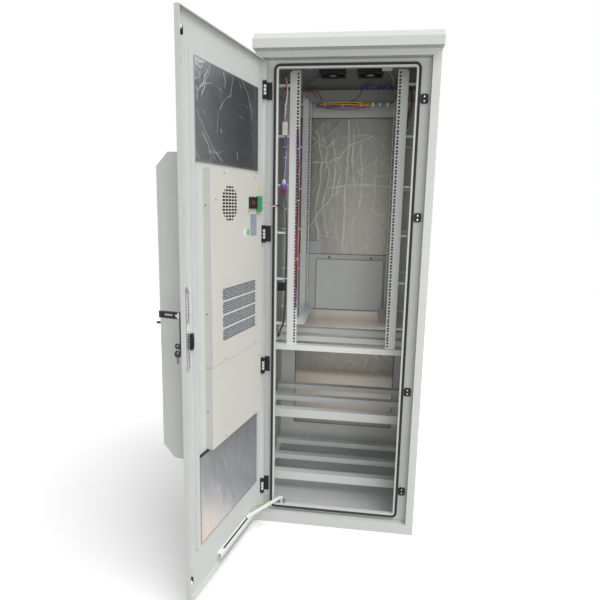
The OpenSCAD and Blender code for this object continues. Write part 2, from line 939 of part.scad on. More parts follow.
module left_fan_rotor() {
    fan_rotor(fan_x[0]);
}

module right_fan_rotor() {
    fan_rotor(fan_x[1]);
}

// White terminal strip beside the fans
module ceiling_terminal() {
    bay = terminal_size.x / terminal_bays;
    wall = bay / 6;
    z0 = ceiling_z - terminal_size.z;
    color(white) difference() {
        block(terminal_x - terminal_size.x / 2, terminal_x + terminal_size.x / 2,
              terminal_v - terminal_size.y / 2, terminal_v + terminal_size.y / 2, z0, ceiling_z);
        for (i = [0 : terminal_bays - 1]) {
            x = terminal_x - terminal_size.x / 2 + i * bay;
            block(x + wall, x + bay - wall, terminal_v - terminal_size.y / 2 - over,
                  terminal_v - wall, z0 - over, z0 + terminal_size.z / 3);
            translate([x + bay / 2, front_y + terminal_v + bay / 2, z0 - over])
                cylinder(d = bay / 2, h = terminal_size.z / 3);
        }
    }
}

// Folded tray for the wiring, carried by ears on the rear rails
module cable_tray() {
    color(paint) {
        block(tray_x0, tray_x1, tray_v, tray_v + sheet_t, tray_z0, tray_z1);
        block(tray_x0, tray_x1, tray_v - tray_lip, tray_v + sheet_t, tray_z0 - sheet_t, tray_z0);
        for (e = [[tray_x0, -1], [tray_x1, 1]]) tray_ear(e[0], e[1]);
    }
}

// One sloping ear and its foot back to the rail
module tray_ear(x, s) {
    far = s * (rail_x0 + tray_ear_w - runner_in);
    top = tray_z0 + tray_ear_h;
    slab(tray_v, tray_v + sheet_t)
        polygon([[x, tray_z0 - sheet_t], [x, top], [far, top], [far, top - tray_ear_h / 3]]);
    xa = min(s * rail_x0, far);
    xb = max(s * rail_x0, far);
    block(xa, xb, tray_v, rear_rail_depth, top - sheet_t, top);
}

module tray_harness() {
    color(black) lead(tray_route, tray_bundle_d, harness_sides);
}

module side_harness() {
    color(black) {
        lead(side_route, harness_d, harness_sides);
        lead(bundle_route, bundle_d, harness_sides);
    }
}

// Hinges and stops

// Frame halves: a plate on the step with two ears around the pin
module hinge_blocks() {
    plate_v = land_depth - hinge_plate_t;
    pin_v = door_set + pin_inset;
    color(black) for (z = hinge_z) difference() {
        union() {
            block(pin_x - hinge_ear_r, pin_x + hinge_plate_x, plate_v, land_depth,
                  z - hinge_h / 2, z + hinge_h / 2);
            for (s = [-1, 1]) hinge_ear(z + s * (hinge_h - hinge_ear_h) / 2, pin_v);
        }
        translate([pin_x, pin_y, z - hinge_h]) cylinder(d = hinge_pin_d, h = 2 * hinge_h);
    }
}

// A rounded ear from the plate to the pin
module hinge_ear(z, pin_v) {
    z0 = z - hinge_ear_h / 2;
    translate([pin_x, pin_y, z0]) cylinder(r = hinge_ear_r, h = hinge_ear_h);
    block(pin_x - hinge_ear_r, pin_x + hinge_ear_r, pin_v, land_depth, z0, z0 + hinge_ear_h);
}

module hinge_pins() {
    color(zinc) for (z = hinge_z)
        translate([pin_x, pin_y, z - hinge_h / 2]) cylinder(d = hinge_pin_d, h = hinge_h);
}

// Door halves: grooved knuckles on leaves welded to the door's edge
module hinge_knuckles() {
    h = hinge_h - 2 * hinge_ear_h - 2 * pass_gap;
    color(white) on_door() for (z = hinge_z) difference() {
        union() {
            translate([-pin_offset, pin_inset, z - h / 2]) cylinder(r = knuckle_r, h = h);
            door_block(-pin_offset, 0, pin_inset - leaf_t / 2, pin_inset + leaf_t / 2,
                       z - h / 2, z + h / 2);
        }
        translate([-pin_offset, pin_inset, z - h])
            cylinder(d = hinge_pin_d + 2 * run_gap, h = 2 * h);
        for (s = [-1, 1]) translate([-pin_offset, pin_inset, z + s * h / 6 - knuckle_groove_h / 2])
            knuckle_ring();
    }
}

// The groove cut around a knuckle, open towards the door's edge
module knuckle_ring() {
    difference() {
        cylinder(r = knuckle_r + over, h = knuckle_groove_h);
        translate([0, 0, -over]) cylinder(r = knuckle_r - knuckle_groove,
                                          h = knuckle_groove_h + 2 * over);
        translate([0, -leaf_t / 2, -over]) cube([pin_offset, leaf_t, knuckle_groove_h + 2 * over]);
    }
}

// Black stop plates on the lock side of the step
module door_buffers() {
    x1 = rim_x1 - buffer_from_rim;
    x0 = x1 - buffer_w;
    color(black) for (z = buffer_z) slab(land_depth - buffer_t, land_depth) difference() {
        round2(x0, x1, z - buffer_h / 2, z + buffer_h / 2, buffer_r);
        for (s = [-1, 1]) translate([(x0 + x1) / 2, z + s * buffer_screw_pitch / 2])
            circle(d = buffer_screw_d);
    }
}

// Door stay

// Foot on the doorway's lip, with the post that the arm turns on
module stay_bracket() {
    color(zinc) {
        block(stay_x - stay_base_w / 2, stay_x + stay_base_w / 2, land_depth - lip_h,
              land_depth + stay_base_w / 2, opening_z0, opening_z0 + stay_base_t);
        translate([stay_x, front_y + stay_v, opening_z0]) {
            cylinder(d = stay_post_d, h = stay_arm_z - opening_z0 - pass_gap);
            cylinder(d = stay_pin_d, h = stay_arm_z - opening_z0 + stay_arm_t + stay_base_t);
        }
    }
}

// Where the arm's tip meets the slot of the open door
tip_from_pin = [door_x0 + stay_tip_u - pin_x, stay_tip_w - pin_inset];
tip_x = pin_x + tip_from_pin.x * cos(door_open) + tip_from_pin.y * sin(door_open);
tip_y = pin_y - tip_from_pin.x * sin(door_open) + tip_from_pin.y * cos(door_open);
stay_dx = tip_x - stay_x;
stay_dy = tip_y - front_y - stay_v;
stay_l = norm([stay_dx, stay_dy]);

// Flat arm with rounded ends and the knob that follows the slot
module stay_arm() {
    color(paint) translate([stay_x, front_y + stay_v, stay_arm_z])
        rotate(atan2(stay_dy, stay_dx)) {
            linear_extrude(stay_arm_t) difference() {
                union() {
                    translate([0, -stay_arm_w / 2]) square([stay_l, stay_arm_w]);
                    for (x = [0, stay_l]) translate([x, 0]) circle(d = stay_arm_w);
                }
                circle(d = stay_pin_d + 2 * run_gap);
            }
            translate([stay_l, 0, channel_z1 + pass_gap - stay_arm_z])
                cylinder(d = stay_knob_d, h = stay_arm_z - channel_z1 - pass_gap + 2 * stay_arm_t);
        }
}

// Slotted angle along the foot of the door
module stay_channel() {
    color(white) on_door() {
        translate([0, 0, channel_z1 - sheet_t]) linear_extrude(sheet_t) difference() {
            rect2(channel_u0, channel_u1, sheet_t, channel_d);
            round2(slot_u0, slot_u1, stay_tip_w - slot_w / 2, stay_tip_w + slot_w / 2,
                   slot_w / 2 - run_gap);
        }
        door_block(channel_u0, channel_u1, sheet_t, sheet_t * 2, channel_z0, channel_z1);
        door_block(channel_u0, channel_u1, channel_d - sheet_t, channel_d, channel_z0, channel_z1);
    }
}

// Door

// Folded door sheet with hemmed edges and the air conditioner's cut-out
module door_skin() {
    hem_w = door_t - sheet_t;
    color(paint) on_door() difference() {
        union() {
            door_block(0, door_w, 0, sheet_t, door_z0, door_z1);
            door_slab(0, door_t) difference() {
                rect2(0, door_w, door_z0, door_z1);
                rect2(sheet_t, door_w - sheet_t, door_z0 + sheet_t, door_z1 - sheet_t);
            }
            door_slab(hem_w, door_t) difference() {
                rect2(0, door_w, door_z0, door_z1);
                rect2(door_hem, door_w - door_hem, door_z0 + door_hem, door_z1 - door_hem);
            }
        }
        door_block(ac_u0 + ac_cut_edge, ac_u1 - ac_cut_edge, -over, sheet_t + over,
                   ac_cut_z0, ac_cut_z1);
        door_rod(spindle_u, spindle_z, -over, sheet_t + over, spindle_d + 2 * pass_gap);
    }
    color(zinc) on_door() door_rod(stud_u, stud_z, sheet_t, stud_end, stud_d);
}

// Hat-section stiffener beside the lock
module door_stiffener() {
    inner = stiff_h - sheet_t;
    color(paint) on_door() translate([0, 0, stiff_z0]) linear_extrude(stiff_z1 - stiff_z0)
        translate([0, sheet_t]) difference() {
            union() {
                rect2(stiff_u0 - stiff_flange, stiff_u1 + stiff_flange, 0, sheet_t);
                rect2(stiff_u0, stiff_u1, 0, stiff_h);
            }
            rect2(stiff_u0 + sheet_t, stiff_u1 - sheet_t, -over, inner);
        }
}

module upper_foil() {
    color(foil) on_door()
        door_block(pad_u0, pad_u1, sheet_t, sheet_t + pad_t, pad_upper_z0, pad_upper_z1);
}

module lower_foil() {
    color(foil) on_door()
        door_block(pad_u0, pad_u1, sheet_t, sheet_t + pad_t, pad_lower_z0, ac_z0 - pad_lower_gap);
}

// Air conditioner

// Inside cover panel as a folded tray between two heights
module ac_tray(z0, z1) {
    difference() {
        door_block(ac_u0, ac_u1, sheet_t, ac_front, z0, z1);
        door_block(ac_u0 + ac_t, ac_u1 - ac_t, sheet_t - over, ac_front - ac_t, z0 + ac_t, z1 - ac_t);
    }
}

// Upper cover with the round slot grille and the honeycomb vent
module ac_upper_cover() {
    color(cream) on_door() difference() {
        ac_tray(ac_joint_z + ac_joint_gap, ac_z1);
        door_slab(ac_front - ac_t - over, ac_front + over) {
            grille2();
            honeycomb2();
        }
    }
}

// Rows of short slots inside a circle
module grille2() {
    pitch = grille_d / grille_rows;
    slot_h = pitch * grille_bar_share;
    step = grille_slot + grille_slot_gap;
    for (i = [0 : grille_rows - 1]) {
        z = (i - (grille_rows - 1) / 2) * pitch;
        reach = sqrt(pow(grille_d / 2, 2) - z * z) - slot_h;
        count = max(1, floor((2 * reach + grille_slot_gap) / step));
        for (k = [0 : count - 1]) {
            u = grille_u + (k - (count - 1) / 2) * step;
            rect2(u - grille_slot / 2, u + grille_slot / 2, grille_z + z - slot_h / 2,
                  grille_z + z + slot_h / 2);
        }
    }
}

// Strips of two rows of hexagons
module honeycomb2() {
    pitch = vent_w / (vent_cells + 1 / 2);
    strip_h = (vent_h - vent_strip_gap * (vent_strips - 1)) / vent_strips;
    cell_r = min(strip_h / 7 * 2, (pitch - vent_cell_gap) / sqrt(3));
    row = cell_r * 3 / 2 + vent_cell_gap / 2;
    for (s = [0 : vent_strips - 1], k = [0 : 1], i = [0 : vent_cells - 1]) {
        z = vent_z0 + s * (strip_h + vent_strip_gap) + strip_h / 2 + (k - 1 / 2) * row;
        translate([vent_u0 + (i + 1 / 2 + k / 2) * pitch, z]) rotate(90) circle(r = cell_r, $fn = 6);
    }
}

module ac_lower_cover() {
    color(cream) on_door() ac_tray(ac_z0, ac_joint_z);
}

// Inner tray of the cooling unit with the blower motor
module ac_chassis() {
    u0 = ac_u0 + ac_cut_edge + pass_gap;
    u1 = ac_u1 - ac_cut_edge - pass_gap;
    z0 = ac_cut_z0 + pass_gap;
    z1 = ac_cut_z1 - pass_gap;
    color(zinc) on_door() {
        difference() {
            door_block(u0, u1, -chassis_back, sheet_t, z0, z1);
            door_block(u0 + ac_t, u1 - ac_t, -chassis_back + ac_t, sheet_t + over, z0 + ac_t, z1 - ac_t);
        }
        door_slab(-ac_t, 0) difference() {
            rect2(u0 - chassis_flange, u1 + chassis_flange, z0 - chassis_flange, z1 + chassis_flange);
            rect2(u0 + ac_t, u1 - ac_t, z0 + ac_t, z1 - ac_t);
        }
        door_rod(grille_u, grille_z, -chassis_back, blower_w0 - pass_gap, blower_motor_d);
        door_rod(grille_u, grille_z, -chassis_back, 0, blower_shaft_d);
    }
}

// Finned cooling coil behind the honeycomb
module ac_evaporator() {
    u0 = vent_u0 - evaporator_margin;
    u1 = vent_u0 + vent_w + evaporator_margin;
    front = ac_front - ac_t - evaporator_front_gap;
    back = -chassis_back + ac_t;
    z0 = vent_z0 - evaporator_margin;
    z1 = vent_z0 + vent_h + evaporator_margin;
    color(zinc) on_door() {
        door_block(u0, u1, back, front - fin_depth, z0, z1);
        for (u = [u0 : fin_pitch : u1 - fin_t])
            door_block(u, u + fin_t, front - fin_depth, front, z0, z1);
    }
}

// Condenser block behind the weather cover
module ac_condenser() {
    color(zinc) on_door()
        door_block(condenser_u0, condenser_u1, -chassis_back - condenser_d, -chassis_back,
                   condenser_z0, condenser_z1);
}

// Blower wheel with curved-back blades behind the round grille
module ac_blower() {
    h = blower_w1 - blower_w0;
    r = blower_d / 2;
    ring_in = r - blower_blade.x;
    color(black) on_door() translate([grille_u, blower_w1, grille_z]) rotate([90, 0, 0]) difference() {
        union() {
            translate([0, 0, h - blower_plate_t]) cylinder(r = r, h = blower_plate_t);
            translate([0, 0, h / 2]) cylinder(d = blower_hub_d, h = h / 2);
            linear_extrude(h) for (i = [0 : blower_blades - 1]) rotate(i * 360 / blower_blades)
                translate([ring_in + blower_blade.x / 2, 0]) rotate(blower_blade_turn)
                    square([blower_blade.x, blower_blade.y], center = true);
            linear_extrude(blower_plate_t) difference() {
                circle(r);
                circle(ring_in);
            }
        }
        cylinder(d = blower_shaft_d + 2 * run_gap, h = h + over);
    }
}

// Small black controller with a window
module ac_controller() {
    u1 = controller_u + controller_size.x;
    z1 = controller_z + controller_size.z;
    face = ac_front + controller_size.y;
    color(black) on_door() difference() {
        door_block(controller_u, u1, ac_front, face, controller_z, z1);
        door_block(controller_u + controller_bezel, u1 - controller_bezel, face - sheet_t, face + over,
                   controller_z + controller_bezel * 2, z1 - controller_bezel);
    }
}

// Green plug block with its row of screws
module ac_terminal() {
    u1 = terminal_u + plug_size.x;
    z1 = terminal_z + plug_size.z;
    face = ac_front + plug_size.y;
    way = plug_size.z / plug_ways;
    color([0.12, 0.55, 0.22]) on_door() difference() {
        door_block(terminal_u, u1, ac_front, face, terminal_z, z1);
        for (i = [0 : plug_ways - 1])
            door_rod(u1 - plug_size.x / 3, terminal_z + (i + 1 / 2) * way, face - sheet_t, face + over,
                     plug_screw_d);
        for (i = [0 : plug_ways - 1])
            door_block(terminal_u - over, terminal_u + plug_size.x / 4, face - plug_size.y / 2, face + over,
                       terminal_z + (i + 1 / 4) * way, terminal_z + (i + 3 / 4) * way);
    }
}

// Side outline of the weather cover, inside a wall of thickness t
module cover2(t) {
    out = -ac_cover_d + t;
    back = t > 0 ? over : 0;
    z0 = ac_cover_z0 + t;
    z1 = ac_cover_z1 - t;
    polygon([[back, z0], [out + ac_bevel, z0], [out, z0 + ac_bevel], [out, z1 - ac_bevel],
             [out + ac_bevel, z1], [back, z1]]);
}

// Weather cover outside the door, with slots for the air
module ac_weather_cover() {
    mid = (cover_u0 + cover_u1) / 2;
    first = mid - (cover_slot_cols * cover_slot_w + (cover_slot_cols - 1) * cover_slot_gap) / 2;
    color(paint) on_door() difference() {
        cover_run(cover_u0, cover_u1) cover2(0);
        cover_run(cover_u0 + cover_wall, cover_u1 - cover_wall) cover2(cover_wall);
        door_slab(-ac_cover_d - over, -ac_cover_d + cover_wall + over)
            for (z = cover_slot_z, i = [0 : cover_slot_rows - 1], k = [0 : cover_slot_cols - 1]) {
                u = first + k * (cover_slot_w + cover_slot_gap);
                rect2(u, u + cover_slot_w, z + i * cover_slot_pitch,
                      z + i * cover_slot_pitch + cover_slot_h);
            }
    }
}

module cover_run(u0, u1) {
    translate([u0, 0, 0]) rotate([90, 0, 90]) linear_extrude(u1 - u0) children();
}

// Lock

// Galvanised back plate of the lock works
module lock_plate() {
    edge = 1.5;
    color(zinc) on_door() difference() {
        door_block(spindle_u - rod_w + edge, spindle_u + rod_w - edge, sheet_t, sheet_t * 2,
                   lock_plate_z0, lock_plate_z1);
        door_rod(spindle_u, spindle_z, 0, sheet_t * 3, spindle_d + 2 * pass_gap);
    }
}

// Clips that hold the rods to the door
module rod_guides() {
    foot = rod_u - pass_gap;
    top = rod_w0 + rod_t + pass_gap;
    color(zinc) on_door() for (z = guide_z) {
        door_block(foot - guide_t, foot, sheet_t, top + guide_t, z - guide_h / 2, z + guide_h / 2);
        door_block(foot - guide_t, rod_u + rod_w, top, top + guide_t, z - guide_h / 2,
                   z + guide_h / 2);
    }
}

// Handle plate outside the door, with the lock cylinder's collar
module handle_base() {
    z1 = spindle_z + handle_up;
    key_z = spindle_z - cylinder_drop;
    color(black) on_door() difference() {
        union() {
            door_slab(-handle_t, 0) round2(spindle_u - handle_w / 2, spindle_u + handle_w / 2,
                                           z1 - handle_h, z1, handle_w / 4);
            door_rod(spindle_u, key_z, -handle_t - cylinder_h, 0, 2 * cylinder_r);
        }
        door_rod(spindle_u, spindle_z, -handle_t - over, over, spindle_d + 2 * run_gap);
        door_rod(spindle_u, key_z, -handle_t - cylinder_h - over, over, 2 * (plug_r + run_gap));
    }
}

// Half the angle of a pinion tooth at radius r, for an involute flank
function inv_angle(a) = tan(a) * 180 / PI - a;
pinion_r = tooth_module * pinion_teeth / 2;
base_r = pinion_r * cos(pressure_angle);
function tooth_half(r) =
    let (a = acos(min(1, base_r / r)), play = tooth_play / 2 / pinion_r * 180 / PI)
    90 / pinion_teeth - play + inv_angle(pressure_angle) - inv_angle(a);
pinion_tip = pinion_r + tooth_module * tooth_top_share;
pinion_root = pinion_r - tooth_module * tooth_root_share;
tooth_steps = 3;
tooth_radii = [for (i = [0 : tooth_steps]) base_r + (pinion_tip - base_r) * i / tooth_steps];
function polar(r, a) = [r * cos(a), r * sin(a)];

// Pinion outline with involute teeth
module pinion2() {
    polygon([for (i = [0 : pinion_teeth - 1]) let (c = i * 360 / pinion_teeth, h = tooth_half(base_r))
        each concat([polar(pinion_root, c - h)],
                    [for (r = tooth_radii) polar(r, c - tooth_half(r))],
                    [for (k = [0 : tooth_steps]) let (r = tooth_radii[tooth_steps - k])
                        polar(r, c + tooth_half(r))],
                    [polar(pinion_root, c + h)])]);
}

// Rack outline beside the pinion, with its back towards +u
module rack2() {
    pitch = PI * tooth_module;
    top = tooth_module * tooth_top_share;
    root = tooth_module * tooth_root_share;
    half = pitch / 4 - tooth_play / 2;
    lean = tan(pressure_angle);
    rect2(pinion_r + root, pinion_r + root + rack_back, -rod_tail / 2, rod_tail / 2);
    for (i = [0 : rack_teeth - 1]) translate([pinion_r, (i - (rack_teeth - 1) / 2) * pitch + pitch / 2])
        polygon([[-top, -half + top * lean], [root + over / 2, -half - root * lean],
                 [root + over / 2, half + root * lean], [-top, half - top * lean]]);
}

// Spindle from the lever's tongue to the pinion
module lock_spindle() {
    head = -handle_t - pass_gap;
    tongue_out = -lever_pivot;
    color(zinc) on_door() difference() {
        union() {
            door_rod(spindle_u, spindle_z, head, rod_w0 + rod_t, spindle_d * 3 / 4);
            door_rod(spindle_u, spindle_z, head, rod_w0 - pass_gap, spindle_d);
            translate([spindle_u, rod_w0 + rod_t, spindle_z]) rotate([90, 0, 0])
                linear_extrude(rod_t) pinion2();
            door_rod(spindle_u, spindle_z, head - spindle_head_h, head, spindle_head_d);
            door_block(spindle_u - tongue_r, spindle_u + tongue_r, tongue_out, head,
                       spindle_z - tongue_w / 2, spindle_z + tongue_w / 2);
            translate([spindle_u, tongue_out, spindle_z - tongue_w / 2])
                cylinder(r = tongue_r, h = tongue_w);
        }
        translate([spindle_u, tongue_out, spindle_z - lever_w])
            cylinder(d = lever_pin_d + 2 * run_gap, h = 2 * lever_w);
    }
}

// Lever that stands straight out, forked around the tongue
module handle_lever() {
    cheek = tongue_w / 2 + pass_gap;
    tip = lever_pivot + lever_reach;
    neck = lever_pivot + lever_neck;
    r = lever_t / 2;
    color(black) on_door() translate([spindle_u, 0, spindle_z]) {
        difference() {
            union() {
                translate([0, -lever_pivot, -lever_w / 2]) cylinder(r = r, h = lever_w);
                translate([-r, -tip + r, -lever_w / 2]) cube([lever_t, lever_reach - r, lever_w]);
                translate([0, -tip + r, -lever_w / 2]) cylinder(r = r, h = lever_w);
            }
            translate([-lever_t, -neck, -cheek]) cube([2 * lever_t, neck, 2 * cheek]);
            translate([-lever_t, -tip + lever_neck * 3 / 2, -lever_window.y / 2])
                cube([2 * lever_t, lever_window.x, lever_window.y]);
        }
        translate([0, -lever_pivot, -lever_w / 2]) cylinder(d = lever_pin_d, h = lever_w);
    }
}

// Lock plug, its key, the ring and the spare key
module lock_key() {
    key_z = spindle_z - cylinder_drop;
    plug_w1 = -over;
    plug_w0 = -handle_t - cylinder_h;
    bow_w = plug_w0 - key_bow_r - over;
    wire_z = -key_bow_hole_r + key_ring_d / 2 + run_gap;
    ring_z = wire_z - key_ring_r;
    hole_z = ring_z - key_ring_r - key_bow_hole_r + key_ring_d / 2 + run_gap;
    spare_z = hole_z - spare_bow_r + key_bow_hole_r * 2;
    color(black) on_door() translate([spindle_u, 0, key_z]) {
        difference() {
            door_rod(0, 0, plug_w0, plug_w1, 2 * plug_r);
            door_block(-key_blade.x / 2, key_blade.x / 2, plug_w0 - over, plug_w0 + key_blade_l / 2,
                       -key_blade.y / 2, key_blade.y / 2);
        }
        difference() {
            union() {
                flat_disc(bow_w, 0, key_bow_r);
                door_block(-key_blade.x / 2, key_blade.x / 2, bow_w, plug_w0 + key_blade_l / 2,
                           -key_blade.y / 2, key_blade.y / 2);
            }
            flat_hole(bow_w, 0);
        }
        translate([0, bow_w, ring_z]) rotate([90, 0, 0]) rotate_extrude()
            translate([key_ring_r, 0]) circle(d = key_ring_d);
        difference() {
            union() {
                flat_disc(bow_w, spare_z, spare_bow_r);
                door_block(-key_blade.x / 2, key_blade.x / 2, bow_w - key_blade.y / 2,
                           bow_w + key_blade.y / 2, spare_z - spare_bow_r - spare_blade_l, spare_z);
            }
            flat_hole(bow_w, hole_z);
        }
    }
}

// A key's bow, standing square to the door
module flat_disc(w, z, r) {
    translate([-key_bow_t / 2, w, z]) rotate([0, 90, 0]) cylinder(r = r, h = key_bow_t);
}

module flat_hole(w, z) {
    translate([-key_bow_t, w, z]) rotate([0, 90, 0]) cylinder(r = key_bow_hole_r, h = 2 * key_bow_t);
}

// Upper lock rod: rack tail, flat bar and roller cheek
module upper_rod() {
    color(zinc) on_door() {
        door_slab(rod_w0, rod_w0 + rod_t) {
            translate([spindle_u, spindle_z]) rack2();
            rect2(spindle_u + pinion_r + tooth_module * tooth_root_share, rod_u + rod_w,
                  spindle_z + rod_tail / 2, spindle_z + rod_start);
            rect2(rod_u, rod_u + rod_w, spindle_z + rod_start, upper_rod_z - roller_cheek_up);
        }
        roller_cheek(upper_rod_z, -1);
    }
}

// Lower lock rod: its tail runs up the other side of the pinion
module lower_rod() {
    left = spindle_u - pinion_r - tooth_module * tooth_root_share - rack_back;
    bottom = spindle_z - rod_start - rod_jog_h;
    color(zinc) on_door() {
        door_slab(rod_w0, rod_w0 + rod_t) {
            translate([spindle_u, spindle_z]) rotate(180) rack2();
            rect2(left, left + rack_back, bottom, spindle_z - rod_tail / 2);
            rect2(left, rod_u + rod_w, bottom, bottom + rod_jog_h - pass_gap);
            rect2(rod_u, rod_u + rod_w, lower_rod_z + roller_cheek_up, bottom);
        }
        roller_cheek(lower_rod_z, 1);
    }
}

// Rounded cheek and axle at a rod's end
module roller_cheek(z, toward) {
    w = rod_w0 + roller_d / 2 - over;
    translate([rod_u, 0, 0]) {
        translate([0, w, z]) rotate([0, 90, 0]) cylinder(d = roller_d, h = roller_cheek_t);
        z0 = min(z, z + toward * roller_cheek_up * 3 / 2);
        translate([0, w - roller_d / 2, z0])
            cube([roller_cheek_t, roller_d, roller_cheek_up * 3 / 2]);
    }
    translate([rod_u, w, z]) rotate([0, 90, 0]) cylinder(d = roller_axle_d, h = rod_w);
}

// Nylon roller on a rod's axle
module roller(z) {
    w = rod_w0 + roller_d / 2 - over;
    u0 = rod_u + roller_cheek_t + pass_gap;
    color(white) on_door() translate([u0, w, z]) rotate([0, 90, 0]) difference() {
        cylinder(d = roller_d - 2 * over, h = roller_w);
        translate([0, 0, -over]) cylinder(d = roller_axle_d + 2 * run_gap, h = roller_w + 2 * over);
    }
}

module upper_roller() {
    roller(upper_rod_z);
}

module lower_roller() {
    roller(lower_rod_z);
}

// Wires across the hinge

module earth_strap() {
    color([0.72, 0.78, 0.2]) lead(strap_route, strap_d, harness_sides);
}

module controller_lead() {
    color(black) lead(lead_route, lead_d, harness_sides);
}

base_frame();
floor_plate();
front_frame();
left_wall();
right_wall();
rear_wall();
ceiling_plate();
roof_hood();
door_gasket();
side_foils();
rear_foils();
filter_cover();
front_left_rail();
front_right_rail();
rear_left_rail();
rear_right_rail();
rail_brackets();
equipment_runners();
mid_shelf();
upper_battery_shelf();
lower_battery_shelf();
fan_frames();
left_fan_rotor();
right_fan_rotor();
ceiling_terminal();
cable_tray();
tray_harness();
side_harness();
hinge_blocks();
hinge_pins();
door_buffers();
stay_bracket();
stay_arm();
door_skin();
door_stiffener();
upper_foil();
lower_foil();
hinge_knuckles();
rod_guides();
lock_plate();
handle_base();
lock_spindle();
handle_lever();
lock_key();
upper_rod();
lower_rod();
upper_roller();
lower_roller();
ac_weather_cover();
ac_upper_cover();
ac_lower_cover();
ac_chassis();
ac_evaporator();
ac_condenser();
ac_blower();
ac_controller();
ac_terminal();
stay_channel();
earth_strap();
controller_lead();
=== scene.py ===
# %% [markdown]
# # An outdoor telecom cabinet with its door open
#
# The shape of this cabinet is a finished CAD model: sheet metal, rails, hinges, lock and air
# conditioner. This lesson gives it the looks that CAD leaves out. It makes paint, zinc and foil
# from maths, crumples the foil lining, bends the door seal, strings the wires, and adds the small
# screws and labels that tell the eye how large a thing is.
#
# ## Load the frame
#
# A CAD object is never moved or reshaped. It is either given a finish, or hidden because a finer
# piece stands for it.

# %% Load the frame
import json
import math
import random

import bmesh
import bpy
import numpy as np
from mathutils import Matrix, Vector


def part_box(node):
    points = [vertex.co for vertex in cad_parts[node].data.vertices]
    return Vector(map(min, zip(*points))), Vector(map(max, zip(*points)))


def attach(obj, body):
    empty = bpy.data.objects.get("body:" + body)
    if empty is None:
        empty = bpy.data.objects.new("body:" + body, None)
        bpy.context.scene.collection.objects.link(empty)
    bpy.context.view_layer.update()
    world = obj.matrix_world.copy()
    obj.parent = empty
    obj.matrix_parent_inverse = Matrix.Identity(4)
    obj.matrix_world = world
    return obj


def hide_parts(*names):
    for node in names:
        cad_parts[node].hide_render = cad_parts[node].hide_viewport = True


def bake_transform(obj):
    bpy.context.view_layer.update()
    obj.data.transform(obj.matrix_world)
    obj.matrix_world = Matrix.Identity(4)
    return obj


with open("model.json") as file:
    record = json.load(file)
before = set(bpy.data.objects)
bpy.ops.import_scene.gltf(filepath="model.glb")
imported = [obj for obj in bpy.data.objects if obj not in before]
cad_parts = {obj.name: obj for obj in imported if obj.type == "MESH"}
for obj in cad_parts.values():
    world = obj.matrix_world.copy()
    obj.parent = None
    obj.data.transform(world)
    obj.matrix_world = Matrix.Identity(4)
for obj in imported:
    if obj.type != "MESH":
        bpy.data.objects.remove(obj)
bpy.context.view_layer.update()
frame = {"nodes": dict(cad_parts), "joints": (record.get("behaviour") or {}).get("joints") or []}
nodes = frame["nodes"]
MM = 0.001
print("CAD nodes loaded:", len(nodes))

# %% [markdown]
# ## Two sets of axes
#
# The cabinet stands square to the world, so a place in it is easy to say: x across, v back from
# the front rim, z up. The door is different. It stands open at an angle that no one wants to do
# sums with, so its pieces are made in the door's own axes: u from the hinge edge to the lock
# edge, w from the outside to the inside, z up. One matrix, taken from the hinge in the record,
# carries them to the open door. If the hinge is moved in CAD, every piece on the door follows.

# %% Axes of the cabinet and of the door
FRONT_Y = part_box("front_frame")[0].y
PIN_TO_DOOR_EDGE = Vector((7 * MM, -5 * MM, 0))

hinge = next(joint for joint in frame["joints"] if joint["name"] == "door_hinge")
open_angle = math.radians(hinge["range_deg"][1])
pin = Vector((hinge["pos_m"][0], hinge["pos_m"][1], 0))
DOOR = (Matrix.Translation(pin) @ Matrix.Rotation(-open_angle, 4, "Z")
        @ Matrix.Translation(PIN_TO_DOOR_EDGE))


def spot(x, v, z):
    """A place in the cabinet, given in millimetres."""
    return Vector((x * MM, FRONT_Y + v * MM, z * MM))


def door_spot(u, w, z):
    """A place on the open door, given in millimetres."""
    return DOOR @ Vector((u * MM, w * MM, z * MM))


def door_box(node):
    """The lowest and highest u, w and z of a CAD node on the door, in metres."""
    inverse = DOOR.inverted()
    local = [inverse @ vertex.co for vertex in nodes[node].data.vertices]
    return Vector(map(min, zip(*local))), Vector(map(max, zip(*local)))


def facing(origin, across, up):
    """Axes of a flat piece: x runs across, y runs up, and z points out of its face."""
    basis = Matrix((across, up, across.cross(up))).transposed().to_4x4()
    return Matrix.Translation(origin) @ basis


DOOR_U = (DOOR.to_3x3() @ Vector((1, 0, 0))).normalized()
DOOR_W = (DOOR.to_3x3() @ Vector((0, 1, 0))).normalized()
ACROSS, FRONT, UP = Vector((1, 0, 0)), Vector((0, -1, 0)), Vector((0, 0, 1))
print("door stands open at", round(math.degrees(open_angle)), "degrees")

# %% [markdown]
# ## Camera
#
# The photograph was taken a little to the right of the doorway, at chest height, looking slightly
# down. Its numbers come from matching corners of known pieces, above all the rack rails, whose
# holes repeat at a standard distance. A focal length measured in pixels becomes a lens by
# comparing the picture's width with the sensor's. A camera looks along its own -Z, so a quarter
# turn about x makes it look level, and pitch is added to that.

# %% Camera
CAMERA_PLACE = Vector((0.13085, -2.6968, 1.53787))
CAMERA_YAW, CAMERA_PITCH, CAMERA_ROLL = -0.1317, -0.1789, 0.0195
FOCAL_PX, PICTURE_PX, SENSOR_MM = 523.2, 600, 36


def add_object(name, data):
    """An object in the scene."""
    thing = bpy.data.objects.new(name, data)
    bpy.context.scene.collection.objects.link(thing)
    return thing


